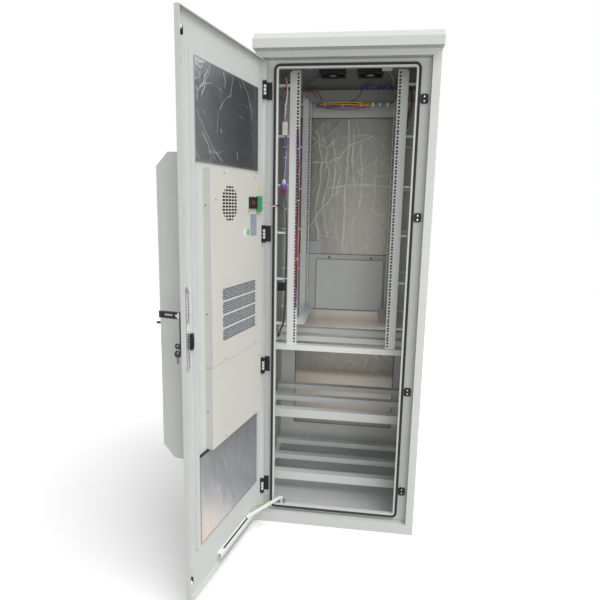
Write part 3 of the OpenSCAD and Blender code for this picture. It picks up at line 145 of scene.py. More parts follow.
camera = add_object("photo_camera", bpy.data.cameras.new("photo_camera"))
camera.data.sensor_width = SENSOR_MM
camera.data.lens = FOCAL_PX / PICTURE_PX * SENSOR_MM
camera.matrix_world = (Matrix.Translation(CAMERA_PLACE) @ Matrix.Rotation(-CAMERA_YAW, 4, "Z")
                       @ Matrix.Rotation(math.pi / 2 + CAMERA_PITCH, 4, "X")
                       @ Matrix.Rotation(CAMERA_ROLL, 4, "Z"))
bpy.context.scene.camera = camera
bpy.context.scene.view_settings.view_transform = "Standard"
print("lens:", round(camera.data.lens, 2), "mm")

# %% [markdown]
# ## A small language for shaders
#
# A node tree is a drawing of a sum, and drawing it from code takes many lines. This class wraps
# one output socket and gives it the usual operators, so `1 - mask` or `a * 0.3 + b` adds the Math
# nodes by itself. Every other node comes from one method: its type, its settings, then what goes
# into its sockets. The same class serves materials and the world.

# %% Signals: shader maths written as sums
def plug(tree, inputs, sockets):
    """Fills sockets: a signal is linked, and anything else is a value."""
    for name, value in dict(sockets).items():
        if isinstance(value, Signal):
            tree.links.new(value.socket, inputs[name])
        else:
            inputs[name].default_value = value


class Signal:
    """One output socket of a node tree."""

    def __init__(self, tree, socket=None):
        self.tree = tree
        self.socket = socket

    def node(self, kind, settings=(), sockets=(), out=0):
        """Adds a node: settings first, then values or links of its sockets."""
        made = self.tree.nodes.new(kind)
        for name, value in dict(settings).items():
            setattr(made, name, value)
        plug(self.tree, made.inputs, sockets)
        return Signal(self.tree, made.outputs[out])

    def math(self, operation, first, second=0.0):
        return self.node("ShaderNodeMath", {"operation": operation}, {0: first, 1: second})

    def mix(self, factor, first, second):
        """Blends two colours."""
        return self.node("ShaderNodeMix", {"data_type": "RGBA"},
                         {0: factor, 6: first, 7: second}, out=2)

    def coordinate(self, kind="Object"):
        """A place or normal in the object's own axes, so that it stays put when the piece moves."""
        return self.node("ShaderNodeTexCoord", out=kind)

    def attribute(self, name):
        """A number that is stored on each point of the mesh."""
        return self.node("ShaderNodeAttribute", {"attribute_name": name}, out="Fac")

    def dot(self, direction):
        return self.node("ShaderNodeVectorMath", {"operation": "DOT_PRODUCT"},
                         {0: self, 1: direction}, out="Value")

    def __add__(self, other):
        return self.math("ADD", self, other)

    def __sub__(self, other):
        return self.math("SUBTRACT", self, other)

    def __rsub__(self, other):
        return self.math("SUBTRACT", other, self)

    def __mul__(self, other):
        return self.math("MULTIPLY", self, other)

    def __gt__(self, other):
        return self.math("GREATER_THAN", self, other)

    def __lt__(self, other):
        return self.math("LESS_THAN", self, other)

    __radd__ = __add__
    __rmul__ = __mul__


print("signals ready")

# %% [markdown]
# ## Floor, light and background
#
# Product pictures are lit so that nothing distracts: a pale floor that keeps the shadow, a large
# soft light in front of the open side, a weaker one for the door's face, one behind, one wide
# light overhead that reaches the floor evenly out to the horizon, and a white background. The
# background is white for what the camera sees directly and in reflections. For everything else
# the world is dimmer, so that shapes keep their shading and the inside of the cabinet stays
# darker than the outside.

# %% Floor, lights and world
FLOOR_SIZE, FLOOR_DROP = 60, 0.4 * MM
AMBIENT = 0.54
WHITE = (1, 1, 1, 1)
FLOOR_BOUNCE = (0.24, 0.24, 0.235, 1)
SOFT_LIGHTS = [
    ("key", (0.8, -4.6, 1.3), (0.0, -0.1, 0.8), 2.6, 60),
    ("door_fill", (2.4, -2.4, 1.5), (-0.45, -0.7, 1.2), 1.8, 12),
    ("back_fill", (-2.4, 3.4, 2.8), (0.0, 0.0, 1.2), 2.5, 60),
]
OVERHEAD_FROM, OVERHEAD_POWER, OVERHEAD_SPREAD = (1.2, -0.9, 2.2), 2.6, 50

half = FLOOR_SIZE / 2
floor_mesh = bpy.data.meshes.new("studio_floor")
floor_mesh.from_pydata([(-half, -half, 0), (half, -half, 0), (half, half, 0), (-half, half, 0)], [],
                       [(0, 1, 2, 3)])
floor = add_object("studio_floor", floor_mesh)
floor.location.z = -FLOOR_DROP


def add_light(name, kind, power, direction):
    light = add_object(name, bpy.data.lights.new(name, kind))
    light.data.energy = power
    light.rotation_euler = direction.to_track_quat("-Z", "Y").to_euler()
    return light


for name, place, target, size, power in SOFT_LIGHTS:
    light = add_light(name, "AREA", power, Vector(target) - Vector(place))
    light.data.size, light.location = size, place
sun = add_light("overhead", "SUN", OVERHEAD_POWER, -Vector(OVERHEAD_FROM))
sun.data.angle = math.radians(OVERHEAD_SPREAD)


def seen_by_eye(signal):
    """One where the camera looks, directly or in a mirror or glass, and zero for other light."""
    paths = [signal.node("ShaderNodeLightPath", out=path)
             for path in ("Is Camera Ray", "Is Glossy Ray", "Is Transmission Ray")]
    return signal.math("MINIMUM", paths[0] + paths[1] + paths[2], 1.0)


world = bpy.data.worlds.new("white_studio")
world.use_nodes = True
bpy.context.scene.world = world
seen = seen_by_eye(Signal(world.node_tree))
plug(world.node_tree, world.node_tree.nodes["Background"].inputs,
     {"Color": WHITE, "Strength": AMBIENT + seen * (1 - AMBIENT)})
print("lights:", len(SOFT_LIGHTS) + 1)

# %% [markdown]
# ## Painted steel
#
# Outdoor cabinets are powder coated: dry paint is blown on and baked, which leaves a fine orange
# peel. Three things make it read as paint and not as plastic. A faint cloudiness keeps large
# panels from looking flat. A fine grain breaks up the highlight. And every folded edge is
# slightly round, which the Bevel node gives to the shading without touching the CAD mesh.
#
# The air conditioner's covers are cream in front, and the wall towards the lock is a darker grey
# that is painted shade, because that wall faces away from the light. A face's normal tells which
# it is: its dot product with a direction is near one where the face looks that way. The lower
# cover is a CAD piece in the world's axes and the upper one is made in the door's, so the same
# direction is written twice.

# %% Powder coat
EDGE_RADIUS = 1.2 * MM
CLOUD_SCALE, CLOUD_DEPTH, CLOUD_ROUGHNESS = 4, 0.1, 0.16
PEEL_SCALE, PEEL_DEPTH = 700, 0.15 * MM


def colour(red, green, blue):
    return (red, green, blue, 1)


def shifted(tone, gain, lift=0.0):
    """A lighter or darker neighbour of a colour."""
    return colour(*(min(1, c * gain + lift) for c in tone[:3]))


def start(name):
    """A new material, and a signal to build its maths on."""
    material = bpy.data.materials.new(name)
    material.use_nodes = True
    return material, Signal(material.node_tree)


def coat(material, sockets):
    """Fills the sockets of the material's shader."""
    tree = material.node_tree
    plug(tree, tree.nodes["Principled BSDF"].inputs, sockets)
    return material


def noise(signal, scale, detail=3.0, stretch=(1, 1, 1)):
    scaled = signal.node("ShaderNodeVectorMath", {"operation": "MULTIPLY"},
                         {0: signal.coordinate(), 1: stretch})
    return signal.node("ShaderNodeTexNoise", {},
                       {"Vector": scaled, "Scale": scale, "Detail": detail})


def soft_edges(signal, height, depth, strength=0.5, radius=EDGE_RADIUS):
    """A bump on top of edges that are shaded round."""
    edge = signal.node("ShaderNodeBevel", {"samples": 4}, {"Radius": radius})
    return signal.node("ShaderNodeBump", {}, {"Strength": strength, "Distance": depth,
                                              "Height": height, "Normal": edge})


def powder_coat(name, tone, roughness=0.5, shaded_side=None):
    """Paint; where a shaded side is given, faces that look that way are a darker grey, which is
    painted shade.
    """
    material, signal = start(name)
    clouds, peel = noise(signal, CLOUD_SCALE, 5), noise(signal, PEEL_SCALE, 2)
    body = signal.mix(clouds, shifted(tone, 1 - CLOUD_DEPTH), tone)
    if shaded_side is not None:
        # Faces towards the shaded side take a darker grey: painted shade.
        body = signal.mix(signal.coordinate("Normal").dot(shaded_side) > 0.5, body, COVER_WALL_SHADE)
    return coat(material, {"Base Color": body, "Normal": soft_edges(signal, peel, PEEL_DEPTH),
                           "Roughness": roughness - CLOUD_ROUGHNESS / 2 + clouds * CLOUD_ROUGHNESS})


# The grey of the covers' lock-side wall is painted shade.
CREAM, COVER_WALL_SHADE = colour(0.62, 0.61, 0.555), colour(0.48, 0.48, 0.455)
grey_paint = powder_coat("grey_paint", colour(0.565, 0.575, 0.56))
# A lighter grey for the rails, runners and mid shelf: partly their own paint and partly painted
# light.
pale_and_lit_paint = powder_coat("pale_and_lit_paint", colour(0.70, 0.71, 0.70), 0.46)
white_paint = powder_coat("white_paint", colour(0.74, 0.75, 0.74), 0.42)
# A dark grey for the ceiling and the cable tray: painted shade under the roof.
painted_shade_grey = powder_coat("painted_shade_grey", colour(0.235, 0.24, 0.22), 0.55)
cream_paint = powder_coat("cream_paint", CREAM, 0.46, DOOR_U)
cover_paint = powder_coat("cover_paint", CREAM, 0.46, (1, 0, 0))
print("paints:", len(bpy.data.materials))

# %% [markdown]
# ## Bare metal
#
# Hot-dip zinc crystallises in patches a few millimetres wide, called spangle. A Voronoi texture
# is made of just such cells, and each cell's random shade sets both how light and how rough that
# patch is. Turned or polished steel, on pins and screws, has no spangle but a fine grain in one
# direction, which a noise stretched along one axis gives.

# %% Zinc and bright steel
SPANGLE_SCALE, SPANGLE_DEPTH = 110, 0.02 * MM
GRAIN_STRETCH = (1, 1, 30)


def spangle(signal):
    """A shade of its own for each zinc crystal."""
    cells = signal.node("ShaderNodeTexVoronoi", {}, {"Vector": signal.coordinate(),
                                                     "Scale": SPANGLE_SCALE}, out="Color")
    return signal.node("ShaderNodeSeparateColor", {}, {"Color": cells})


def galvanised(name, deep, pale, metal=0.85):
    material, signal = start(name)
    shade, dull = spangle(signal), noise(signal, 9, 4)
    return coat(material, {"Base Color": signal.mix(shade, deep, pale), "Metallic": metal,
                           "Roughness": 0.3 + shade * 0.16 + dull * 0.1,
                           "Normal": soft_edges(signal, shade, SPANGLE_DEPTH)})


def bright_steel(name, tone):
    material, signal = start(name)
    grain = noise(signal, 60, 3, GRAIN_STRETCH)
    return coat(material, {"Base Color": signal.mix(grain, shifted(tone, 0.8), tone),
                           "Metallic": 1.0, "Roughness": 0.18 + grain * 0.18,
                           "Normal": soft_edges(signal, grain, 0.03 * MM, 0.3, 0.4 * MM)})


zinc = galvanised("galvanised_steel", colour(0.50, 0.53, 0.55), colour(0.62, 0.65, 0.67))
# The floor plate is a paler copy of the zinc: painted light falling in through the doorway.
lit_floor_zinc = galvanised("lit_floor_zinc", colour(0.66, 0.69, 0.70), colour(0.72, 0.75, 0.76), 0.6)
steel = bright_steel("bright_steel", colour(0.60, 0.61, 0.62))
screw_steel = bright_steel("screw_steel", colour(0.26, 0.26, 0.27))
print("metals:", zinc.name, lit_floor_zinc.name, steel.name, screw_steel.name)

# %% [markdown]
# ## Plastic, rubber and coated fins
#
# Moulded plastic carries a fine leather grain from its tool, rubber is matt and dusty, and the
# black parts of the lock are painted. They share one recipe with different numbers. The cooling
# coil is its own case: hundreds of thin fins with a blue coating. They run straight up the coil,
# so a sine wave along the door's width draws them, and its dark half is painted shade in the gap
# between two fins.

# %% Plastic, rubber and coil fins
FIN_PITCH = 2.4 * MM
DUST_TONE, MOULD_EDGE = 0.5, 0.8 * MM


def moulded(name, tone, roughness, grain_scale=900, grain_depth=0.06 * MM, dust=0.06, gloss=0.5):
    material, signal = start(name)
    grain, patches = noise(signal, grain_scale, 2), noise(signal, 12, 4)
    dusty = shifted(tone, 1 - dust, DUST_TONE * dust)
    return coat(material, {"Base Color": signal.mix(patches, tone, dusty),
                           "Roughness": roughness - 0.05 + patches * 0.1,
                           "Specular IOR Level": gloss,
                           "Normal": soft_edges(signal, grain, grain_depth, 0.4, MOULD_EDGE)})


def coil_fins(name):
    material, signal = start(name)
    along = signal.coordinate().dot(DOOR_U)
    wave = signal.math("SINE", along * (2 * math.pi / FIN_PITCH)) * 0.5 + 0.5
    tint = signal.mix(noise(signal, 6), colour(0.10, 0.18, 0.36), colour(0.16, 0.26, 0.48))
    # The dark half of the wave is painted shade in the gaps between fins.
    return coat(material, {"Base Color": signal.mix(wave, colour(0.04, 0.06, 0.10), tint),
                           "Metallic": 0.2, "Roughness": 0.55 - wave * 0.15})


black_plastic = moulded("black_plastic", colour(0.016, 0.016, 0.018), 0.45, dust=0.03, gloss=0.2)
black_metal = moulded("black_metal", colour(0.012, 0.012, 0.014), 0.36, 500, 0.08 * MM, 0.03, 0.25)
rubber = moulded("seal_rubber", colour(0.012, 0.012, 0.013), 0.62, 300, 0.1 * MM, 0.03, 0.3)
nylon = moulded("white_plastic", colour(0.78, 0.78, 0.74), 0.4)
green_plastic = moulded("green_plastic", colour(0.03, 0.30, 0.10), 0.38)
fins = coil_fins("coil_fins")
print("fins every", FIN_PITCH / MM, "mm")

# %% [markdown]
# ## Lock rods with dipped ends
#
# A lock rod is zinc along its length, but the cheek that carries its roller is dipped in black.
# It is one piece of steel, so it stays one object: its height decides the finish. A comparison
# gives a mask of zero or one, and the mask chooses colour, metal and roughness together. The
# hanging key is the same case the other way round: black above, and bare along its blade.

# %% Rod and key finish
CHEEK_LONG, BLADE_LONG = 16 * MM, 24 * MM
UPPER_CHEEK_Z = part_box("upper_roller")[0].z - CHEEK_LONG
LOWER_CHEEK_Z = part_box("lower_roller")[1].z + CHEEK_LONG
BLADE_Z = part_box("lock_key")[0].z + BLADE_LONG


def dipped_steel(name, black_below, black_above, deep, pale):
    material, signal = start(name)
    height = signal.node("ShaderNodeSeparateXYZ", {}, {0: signal.coordinate()}, out="Z")
    dipped = (height > black_above) + (height < black_below)
    shade = spangle(signal)
    bare = signal.mix(shade, deep, pale)
    return coat(material, {"Base Color": signal.mix(dipped, bare, colour(0.015, 0.015, 0.017)),
                           "Metallic": 0.9 - dipped * 0.9, "Roughness": 0.32 + dipped * 0.1,
                           "Normal": soft_edges(signal, shade, SPANGLE_DEPTH)})


rod_steel = dipped_steel("dipped_rod", LOWER_CHEEK_Z, UPPER_CHEEK_Z, colour(0.42, 0.44, 0.46),
                         colour(0.64, 0.66, 0.68))
key_steel = dipped_steel("key_steel", 0, BLADE_Z, colour(0.15, 0.15, 0.155),
                         colour(0.20, 0.20, 0.21))
print("rods are black above", round(UPPER_CHEEK_Z, 3), "and below", round(LOWER_CHEEK_Z, 3))

# %% [markdown]
# ## Give the CAD pieces their finish
#
# Each finish lists the CAD pieces it belongs to. Painting a piece only fills a material slot of its
# mesh, so no point or face of the CAD shape changes.

# %% Finishes of the CAD pieces
FINISHES = [
    (grey_paint, ["front_frame", "left_wall", "right_wall", "rear_wall", "roof_hood",
                  "filter_cover", "upper_battery_shelf", "lower_battery_shelf", "door_skin",
                  "door_stiffener", "ac_weather_cover"]),
    (pale_and_lit_paint, ["front_left_rail", "front_right_rail", "rear_left_rail", "rear_right_rail",
                    "equipment_runners", "mid_shelf"]),
    (painted_shade_grey, ["ceiling_plate", "cable_tray"]),
    (white_paint, ["rail_brackets", "hinge_knuckles", "stay_arm", "stay_channel"]),
    (cream_paint, ["ac_upper_cover", "ac_lower_cover"]),
    (zinc, ["base_frame", "stay_bracket", "lock_plate", "rod_guides", "ac_chassis"]),
    (lit_floor_zinc, ["floor_plate"]),
    (rod_steel, ["upper_rod", "lower_rod"]),
    (steel, ["hinge_pins", "lock_spindle"]),
    (fins, ["ac_evaporator", "ac_condenser"]),
    (key_steel, ["lock_key"]),
    (black_metal, ["hinge_blocks", "handle_base", "handle_lever"]),
    (black_plastic, ["fan_frames", "left_fan_rotor", "right_fan_rotor", "door_buffers", "ac_blower",
                     "ac_controller"]),
    (rubber, ["door_gasket"]),
    (nylon, ["ceiling_terminal", "upper_roller", "lower_roller"]),
    (green_plastic, ["ac_terminal"]),
]


def paint(piece, material):
    piece.data.materials.clear()
    piece.data.materials.append(material)


for material, names in FINISHES:
    for name in names:
        paint(nodes[name], material)
print("CAD pieces with a finish:", sum(len(names) for material, names in FINISHES))

# %% [markdown]
# ## Making new pieces
#
# Every new piece goes through one helper: a mesh, its finish, the body it rides on, and where it
# stands. A piece that stands for a CAD solid says so, and the solid is then hidden. Three more
# helpers make the meshes: blocks, bands of faces between rings of points, and several meshes
# joined into one.

# %% Helpers for new pieces
HERE = Matrix.Identity(4)
made_pieces = []


def add_piece(name, mesh, material, body, place=HERE, stands_for=()):
    piece = add_object(name, mesh)
    piece.matrix_world = place
    paint(piece, material)
    if body:
        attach(piece, body)
    if stands_for:
        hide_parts(*stands_for)
    made_pieces.append(piece)
    return piece


def mesh_of(name, points, faces, smooth=True):
    mesh = bpy.data.meshes.new(name)
    mesh.from_pydata([tuple(p) for p in points], [], faces)
    mesh.validate()
    for polygon in mesh.polygons:
        polygon.use_smooth = smooth
    mesh.update()
    return mesh


def bands(rings, sides, around=False):
    """Faces between rings of points; around joins the last ring to the first."""
    faces = []
    for i in range(rings if around else rings - 1):
        j = (i + 1) % rings
        for k in range(sides):
            m = (k + 1) % sides
            a, b, c, d = i * sides + k, i * sides + m, j * sides + m, j * sides + k
            faces.append((a, d, c, b) if around else (a, b, c, d))
    return faces


def blocks(name, corners):
    """One mesh of several blocks, each given by its low and high corner."""
    sides = [(0, 2, 3, 1), (4, 5, 7, 6), (0, 1, 5, 4), (2, 6, 7, 3), (0, 4, 6, 2), (1, 3, 7, 5)]
    points, faces = [], []
    for low, high in corners:
        faces += [tuple(i + len(points) for i in side) for side in sides]
        points += [(x, y, z) for z in (low[2], high[2]) for y in (low[1], high[1])
                   for x in (low[0], high[0])]
    return mesh_of(name, points, faces, False)


def add_blocks(name, boxes, material, body):
    """Blocks as one piece, each by its low and high corner in millimetres, in its body's axes."""
    on_door = body == "door"
    place = (lambda *c: Vector(c) * MM) if on_door else spot
    corners = [(place(*box[:3]), place(*box[3:])) for box in boxes]
    return add_piece(name, blocks(name, corners), material, body, DOOR if on_door else HERE)


def joined(name, parts):
    """Several meshes with their own placing, joined into one mesh."""
    shape = bmesh.new()
    for mesh, place in parts:
        mesh.transform(place)
        shape.from_mesh(mesh)
        bpy.data.meshes.remove(mesh)
    mesh = bpy.data.meshes.new(name)
    shape.to_mesh(mesh)
    shape.free()
    return mesh


print("helpers ready")

# %% [markdown]
# ## Aluminium foil
#
# The insulation is foam faced with thin aluminium. It was handled before it was glued, so it is
# covered in creases, and creases are what make foil look like foil: each one tilts a thin strip
# of mirror towards another part of the room.
#
# A flat image of creases would look printed on, so here the sheet really is crumpled. A grid of
# points is raised by random ridges, sharp at the top and fading to both sides, over a slow
# waviness. How strong a painted highlight each ridge carries, a pale line that also makes it
# duller, is stored on each point. Two more numbers mark the seam around a sheet, which is duller
# and darkened with painted shade, and the side or corner of it that catches more light, which is
# painted light. The random numbers are seeded, so the sheet comes out the same every time.

# %% Foil finish
SEAM_SHADE = colour(0.06, 0.06, 0.065)


def foil_finish(name, tone, crease_highlight, roughness, warm, streaks, metal, spread, fine=38,
                dent=0.25):
    material, signal = start(name)
    crease, seam, glow = (signal.attribute(label) for label in ("crease", "seam", "glow"))
    crinkle = noise(signal, fine, 6, streaks)
    worn = (noise(signal, 2.2, 3) * 0.5 + crinkle * 0.5) * spread
    # Pale crease lines are painted highlights, the dark seam is painted shade, and the glow is
    # painted light.
    body = signal.mix(glow, signal.mix(worn, tone, crease_highlight), warm)
    shown = signal.mix(seam * 0.7, signal.mix(crease, body, crease_highlight), SEAM_SHADE)
    bump = signal.node("ShaderNodeBump", {}, {"Strength": dent, "Distance": 1.0 * MM,
                                              "Height": crinkle})
    return coat(material, {"Base Color": shown, "Metallic": metal - seam * 0.4 - crease * 0.55,
                           "Roughness": roughness + crease * 0.2 + crinkle * 0.08, "Normal": bump})


# The four finishes are one foil; part of the difference between their tones is painted light and
# shade for where each sheet hangs.
dark_foil = foil_finish("dark_foil", colour(0.15, 0.165, 0.17), colour(0.78, 0.80, 0.82), 0.2,
                        colour(0.62, 0.66, 0.69), (1, 1, 0.6), 0.86, 0.42, 90, 0.6)
silver_foil = foil_finish("silver_foil", colour(0.34, 0.36, 0.38), colour(0.80, 0.81, 0.82), 0.30,
                          colour(0.74, 0.60, 0.50), (1, 0.12, 1), 0.75, 0.8)
side_foil = foil_finish("side_foil", colour(0.30, 0.31, 0.31), colour(0.60, 0.61, 0.60), 0.36,
                        colour(0.34, 0.31, 0.28), (1, 1, 0.5), 0.7, 0.8)
rear_foil = foil_finish("rear_foil", colour(0.06, 0.062, 0.052), colour(0.74, 0.74, 0.68), 0.36,
                        colour(0.56, 0.51, 0.44), (1, 1, 0.4), 0.6, 0.28, 60, 0.5)
print("foils:", dark_foil.name, silver_foil.name, side_foil.name, rear_foil.name)

# %% [markdown]
# A ridge is a line whose height falls off to both sides. Chance places most of them: a middle, an
# angle, a length and a wiggle. A long fold is given as a line of points instead, and is shaken a
# little so that it isn't straight.

# %% Creases and folds
CREASE_WIDTH = 5 * MM
CHANCE_LINE, FOLD_LINE = CREASE_WIDTH * 0.36, CREASE_WIDTH * 0.42
CREASE_LENGTHS, CREASE_RISES, CREASE_BREAKS = (0.12, 0.6), (-0.6, 1.0), (4, 11)
LEAN, BOW = 0.45, 0.35
WIGGLE, WIGGLE_STEPS = 2.4 * MM, (0.008, 0.03)
SHAKE_X, SHAKE_Y, FOLD_BREAKS = (0.011, 0.043), (0.017, 0.05), (0.023, 0.031)
PHASE = 6


def gap_to(x, y, line):
    """How far each point of the grid lies from a line of points."""
    gap = np.full_like(x, np.inf)
    for (x0, y0), (x1, y1) in zip(line, line[1:]):
        dx, dy = x1 - x0, y1 - y0
        share = np.clip(((x - x0) * dx + (y - y0) * dy) / (dx * dx + dy * dy), 0, 1)
        gap = np.minimum(gap, np.hypot(x - x0 - share * dx, y - y0 - share * dy))
    return gap


def chance_creases(rng, x, y, width, height, count, upright_share):
    """Random ridges: how far they rise, and how strong a painted highlight each carries."""
    rise, mark = np.zeros_like(x), np.zeros_like(x)
    for _ in range(count):
        middle = rng.uniform((0, 0), (width, height))
        angle = (math.pi / 2 if rng.random() < upright_share else 0) + rng.normal(0, LEAN)
        length = rng.uniform(*CREASE_LENGTHS) * max(width, height) / 2
        dx, dy = x - middle[0], y - middle[1]
        along = dx * math.cos(angle) + dy * math.sin(angle)
        beside = dy * math.cos(angle) - dx * math.sin(angle)
        wiggle = rng.uniform(0, WIGGLE) * np.sin(along / rng.uniform(*WIGGLE_STEPS)
                                                 + rng.uniform(0, PHASE))
        gap = np.abs(beside + wiggle + rng.normal(0, BOW) * along ** 2 / length)
        fade = np.clip(1 - np.abs(along) / length, 0, 1) ** 0.5
        broken = 0.6 + 0.4 * np.sin(along / length * rng.uniform(*CREASE_BREAKS)
                                    + rng.uniform(0, PHASE))
        rise += np.exp(-gap / CREASE_WIDTH) * fade * rng.uniform(*CREASE_RISES)
        line = np.exp(-((gap / CHANCE_LINE) ** 2)) * fade * broken
        mark = np.maximum(mark, line * 0.8 * rng.random() ** 1.6)
    return rise, mark


def placed_folds(rng, x, y, folds, rise, mark):
    """Adds folds whose lines are given, shaken so that they aren't straight."""
    shaken_x = x + WIGGLE * np.sin(x / SHAKE_X[0] + 3 * np.sin(y / SHAKE_X[1]))
    shaken_y = y + WIGGLE * np.sin(y / SHAKE_Y[0] + x / SHAKE_Y[1])
    for fold in folds:
        gap = gap_to(shaken_x, shaken_y, fold)
        rise += np.exp(-gap / CREASE_WIDTH) * rng.uniform(0.5, 1.0)
        broken = 0.7 + 0.3 * np.sin(x / FOLD_BREAKS[0] + y / FOLD_BREAKS[1]
                                    + rng.uniform(0, PHASE))
        line = np.exp(-((gap / FOLD_LINE) ** 2)) * broken
        np.maximum(mark, line * rng.uniform(0.6, 1.0), out=mark)


print("crease width:", CREASE_WIDTH / MM, "mm")

# %% [markdown]
# The sheet itself is a grid. Its height is the sum of ridges, folds and slow waves, and it is held
# flat along the seam. A rim and a flat back close it into a solid.

# %% Crumpled sheets
WALL_CELL, REAR_CELL, DOOR_CELL = 7 * MM, 4 * MM, 3 * MM
SEAM_WIDTH, CORNER_REACH = 9 * MM, 0.55
WAVES, WAVE_LENGTHS, WAVE_TURN = 6, (0.07, 0.22), 6.3
MOST_RISE = 1.8


def glow_of(kind, across, up):
    """How much more light each point catches, from its shares of the sheet's width and height."""
    if kind == "corner":
        return np.clip(1 - np.hypot(across, up) / CORNER_REACH, 0, 1)
    if kind == "side":
        return np.clip(1 - across * 1.3, 0, 1) ** 1.2
    if kind == "across":
        return 0.22 * np.clip(0.4 + across * 0.6 - up * 1.1, 0, 1)
    if kind == "low":
        return (np.clip((0.47 - up) * 18, 0, 0.8) * np.clip(up * 5, 0.3, 1)
                + np.clip((up - 0.72) * 9, 0.3, 0.8))
    return 0 * across


def crumpled(name, width, height, thickness, creases, relief, upright_share, seed, cell, lit=None,
             folds=(), waviness=0.45):
    """A sheet with its back at z = 0: x across, y up, and ridges towards +z."""
    rng = np.random.default_rng(seed)
    columns, rows = round(width / cell), round(height / cell)
    x, y = np.meshgrid(np.linspace(0, width, columns + 1), np.linspace(0, height, rows + 1))
    rise, mark = chance_creases(rng, x, y, width, height, creases, upright_share)
    placed_folds(rng, x, y, [[(a * width, b * height) for a, b in fold] for fold in folds], rise,
                 mark)
    for _ in range(WAVES):
        turn, size = rng.uniform(0, math.pi), rng.uniform(*WAVE_LENGTHS)
        along = (x * math.cos(turn) + y * math.sin(turn)) / size
        rise += waviness * np.sin(along * WAVE_TURN + rng.uniform(0, WAVE_TURN))
    rise = np.clip(rise, -MOST_RISE, MOST_RISE) / MOST_RISE
    edge = np.minimum(np.minimum(x, width - x), np.minimum(y, height - y))
    seam = np.clip(1 - edge / SEAM_WIDTH, 0, 1)
    z = thickness - relief + rise * relief * (1 - seam)
    points = np.stack([x, y, z], -1).reshape(-1, 3)
    stride = columns + 1
    faces = [(r * stride + c, r * stride + c + 1, (r + 1) * stride + c + 1, (r + 1) * stride + c)
             for r in range(rows) for c in range(columns)]
    rim = ([(0, c) for c in range(columns)] + [(r, columns) for r in range(rows)]
           + [(rows, c) for c in range(columns, 0, -1)] + [(r, 0) for r in range(rows, 0, -1)])
    front = [r * stride + c for r, c in rim]
    back = [len(points) + i for i in range(len(front))]
    under = points[front] * (1, 1, 0)
    for i in range(len(front)):
        j = (i + 1) % len(front)
        faces.append((front[j], front[i], back[i], back[j]))
    faces.append(tuple(back[::-1]))
    mesh = mesh_of(name, np.vstack([points, under]), faces)
    glow = glow_of(lit, x / width, y / height)
    for label, values in (("crease", mark), ("seam", seam), ("glow", glow)):
        flat = np.concatenate([values.reshape(-1), np.ones(len(front))])
        attribute = mesh.attributes.new(label, "FLOAT", "POINT")
        attribute.data.foreach_set("value", flat.astype(np.float32))
    return mesh


print("foil grid:", WALL_CELL / MM, REAR_CELL / MM, DOOR_CELL / MM, "mm")

# %% [markdown]
# The door has a sheet above the air conditioner and one below. Both are as large and as thick as
# the CAD pads they stand for, and the ridges stay inside that thickness. The longest folds of the
# upper sheet are listed, as shares of its width and height, and chance adds the rest.

# %% Foil on the door
DOOR_RELIEF, DOOR_WAVINESS = 1.2 * MM, 0.25
DOOR_FOLD_SHARES = [
    [(0.21, 0.99), (0.20, 0.91), (0.14, 0.77), (0.096, 0.66)],
    [(0.18, 0.93), (0.11, 0.76), (0.042, 0.69)],
    [(0.557, 0.995), (0.544, 0.91), (0.504, 0.773), (0.413, 0.69), (0.349, 0.58)],
    [(0.032, 0.483), (0.118, 0.344), (0.209, 0.20), (0.266, 0.126), (0.364, 0.04)],
    [(0.10, 0.30), (0.20, 0.13), (0.27, 0.05)],
    [(0.70, 0.99), (0.80, 0.88), (0.86, 0.69)], [(0.35, 0.37), (0.36, 0.33)],
    [(0.605, 0.17), (0.62, 0.10)], [(0.02, 0.93), (0.08, 0.90), (0.12, 0.94)],
    [(0.03, 0.86), (0.07, 0.82), (0.075, 0.76)], [(0.01, 0.78), (0.06, 0.80), (0.09, 0.86)],
    [(0.02, 0.97), (0.06, 0.96), (0.13, 0.98)], [(0.02, 0.72), (0.04, 0.66), (0.03, 0.60)],
    [(0.66, 0.96), (0.69, 0.90)], [(0.40, 0.96), (0.43, 0.88), (0.42, 0.82)],
]


def door_sheet(node, material, creases, upright_share, seed, lit, folds=()):
    name = node + "_crumpled"
    low, high = door_box(node)
    size = high - low
    mesh = crumpled(name, size.x, size.z, size.y, creases, DOOR_RELIEF, upright_share, seed,
                    DOOR_CELL, lit, folds, DOOR_WAVINESS)
    place = facing(DOOR @ Vector((high.x, low.y, low.z)), -DOOR_U, UP)
    return add_piece(name, mesh, material, "door", place, [node])


upper_sheet = door_sheet("upper_foil", dark_foil, 16, 0.6, 11, "side", DOOR_FOLD_SHARES)
door_sheet("lower_foil", silver_foil, 46, 0.85, 23, "corner")
print("faces in the upper sheet:", len(upper_sheet.data.polygons))

# %% [markdown]
# The lining of the walls is two sheets on the sides and two on the back. CAD keeps each pair as
# one node, so each pair is made as two meshes that are joined into one piece. The upper sheet on
# the back was folded most before it was glued, so its long folds are listed too. Its top is
# trimmed to end below the cable tray.

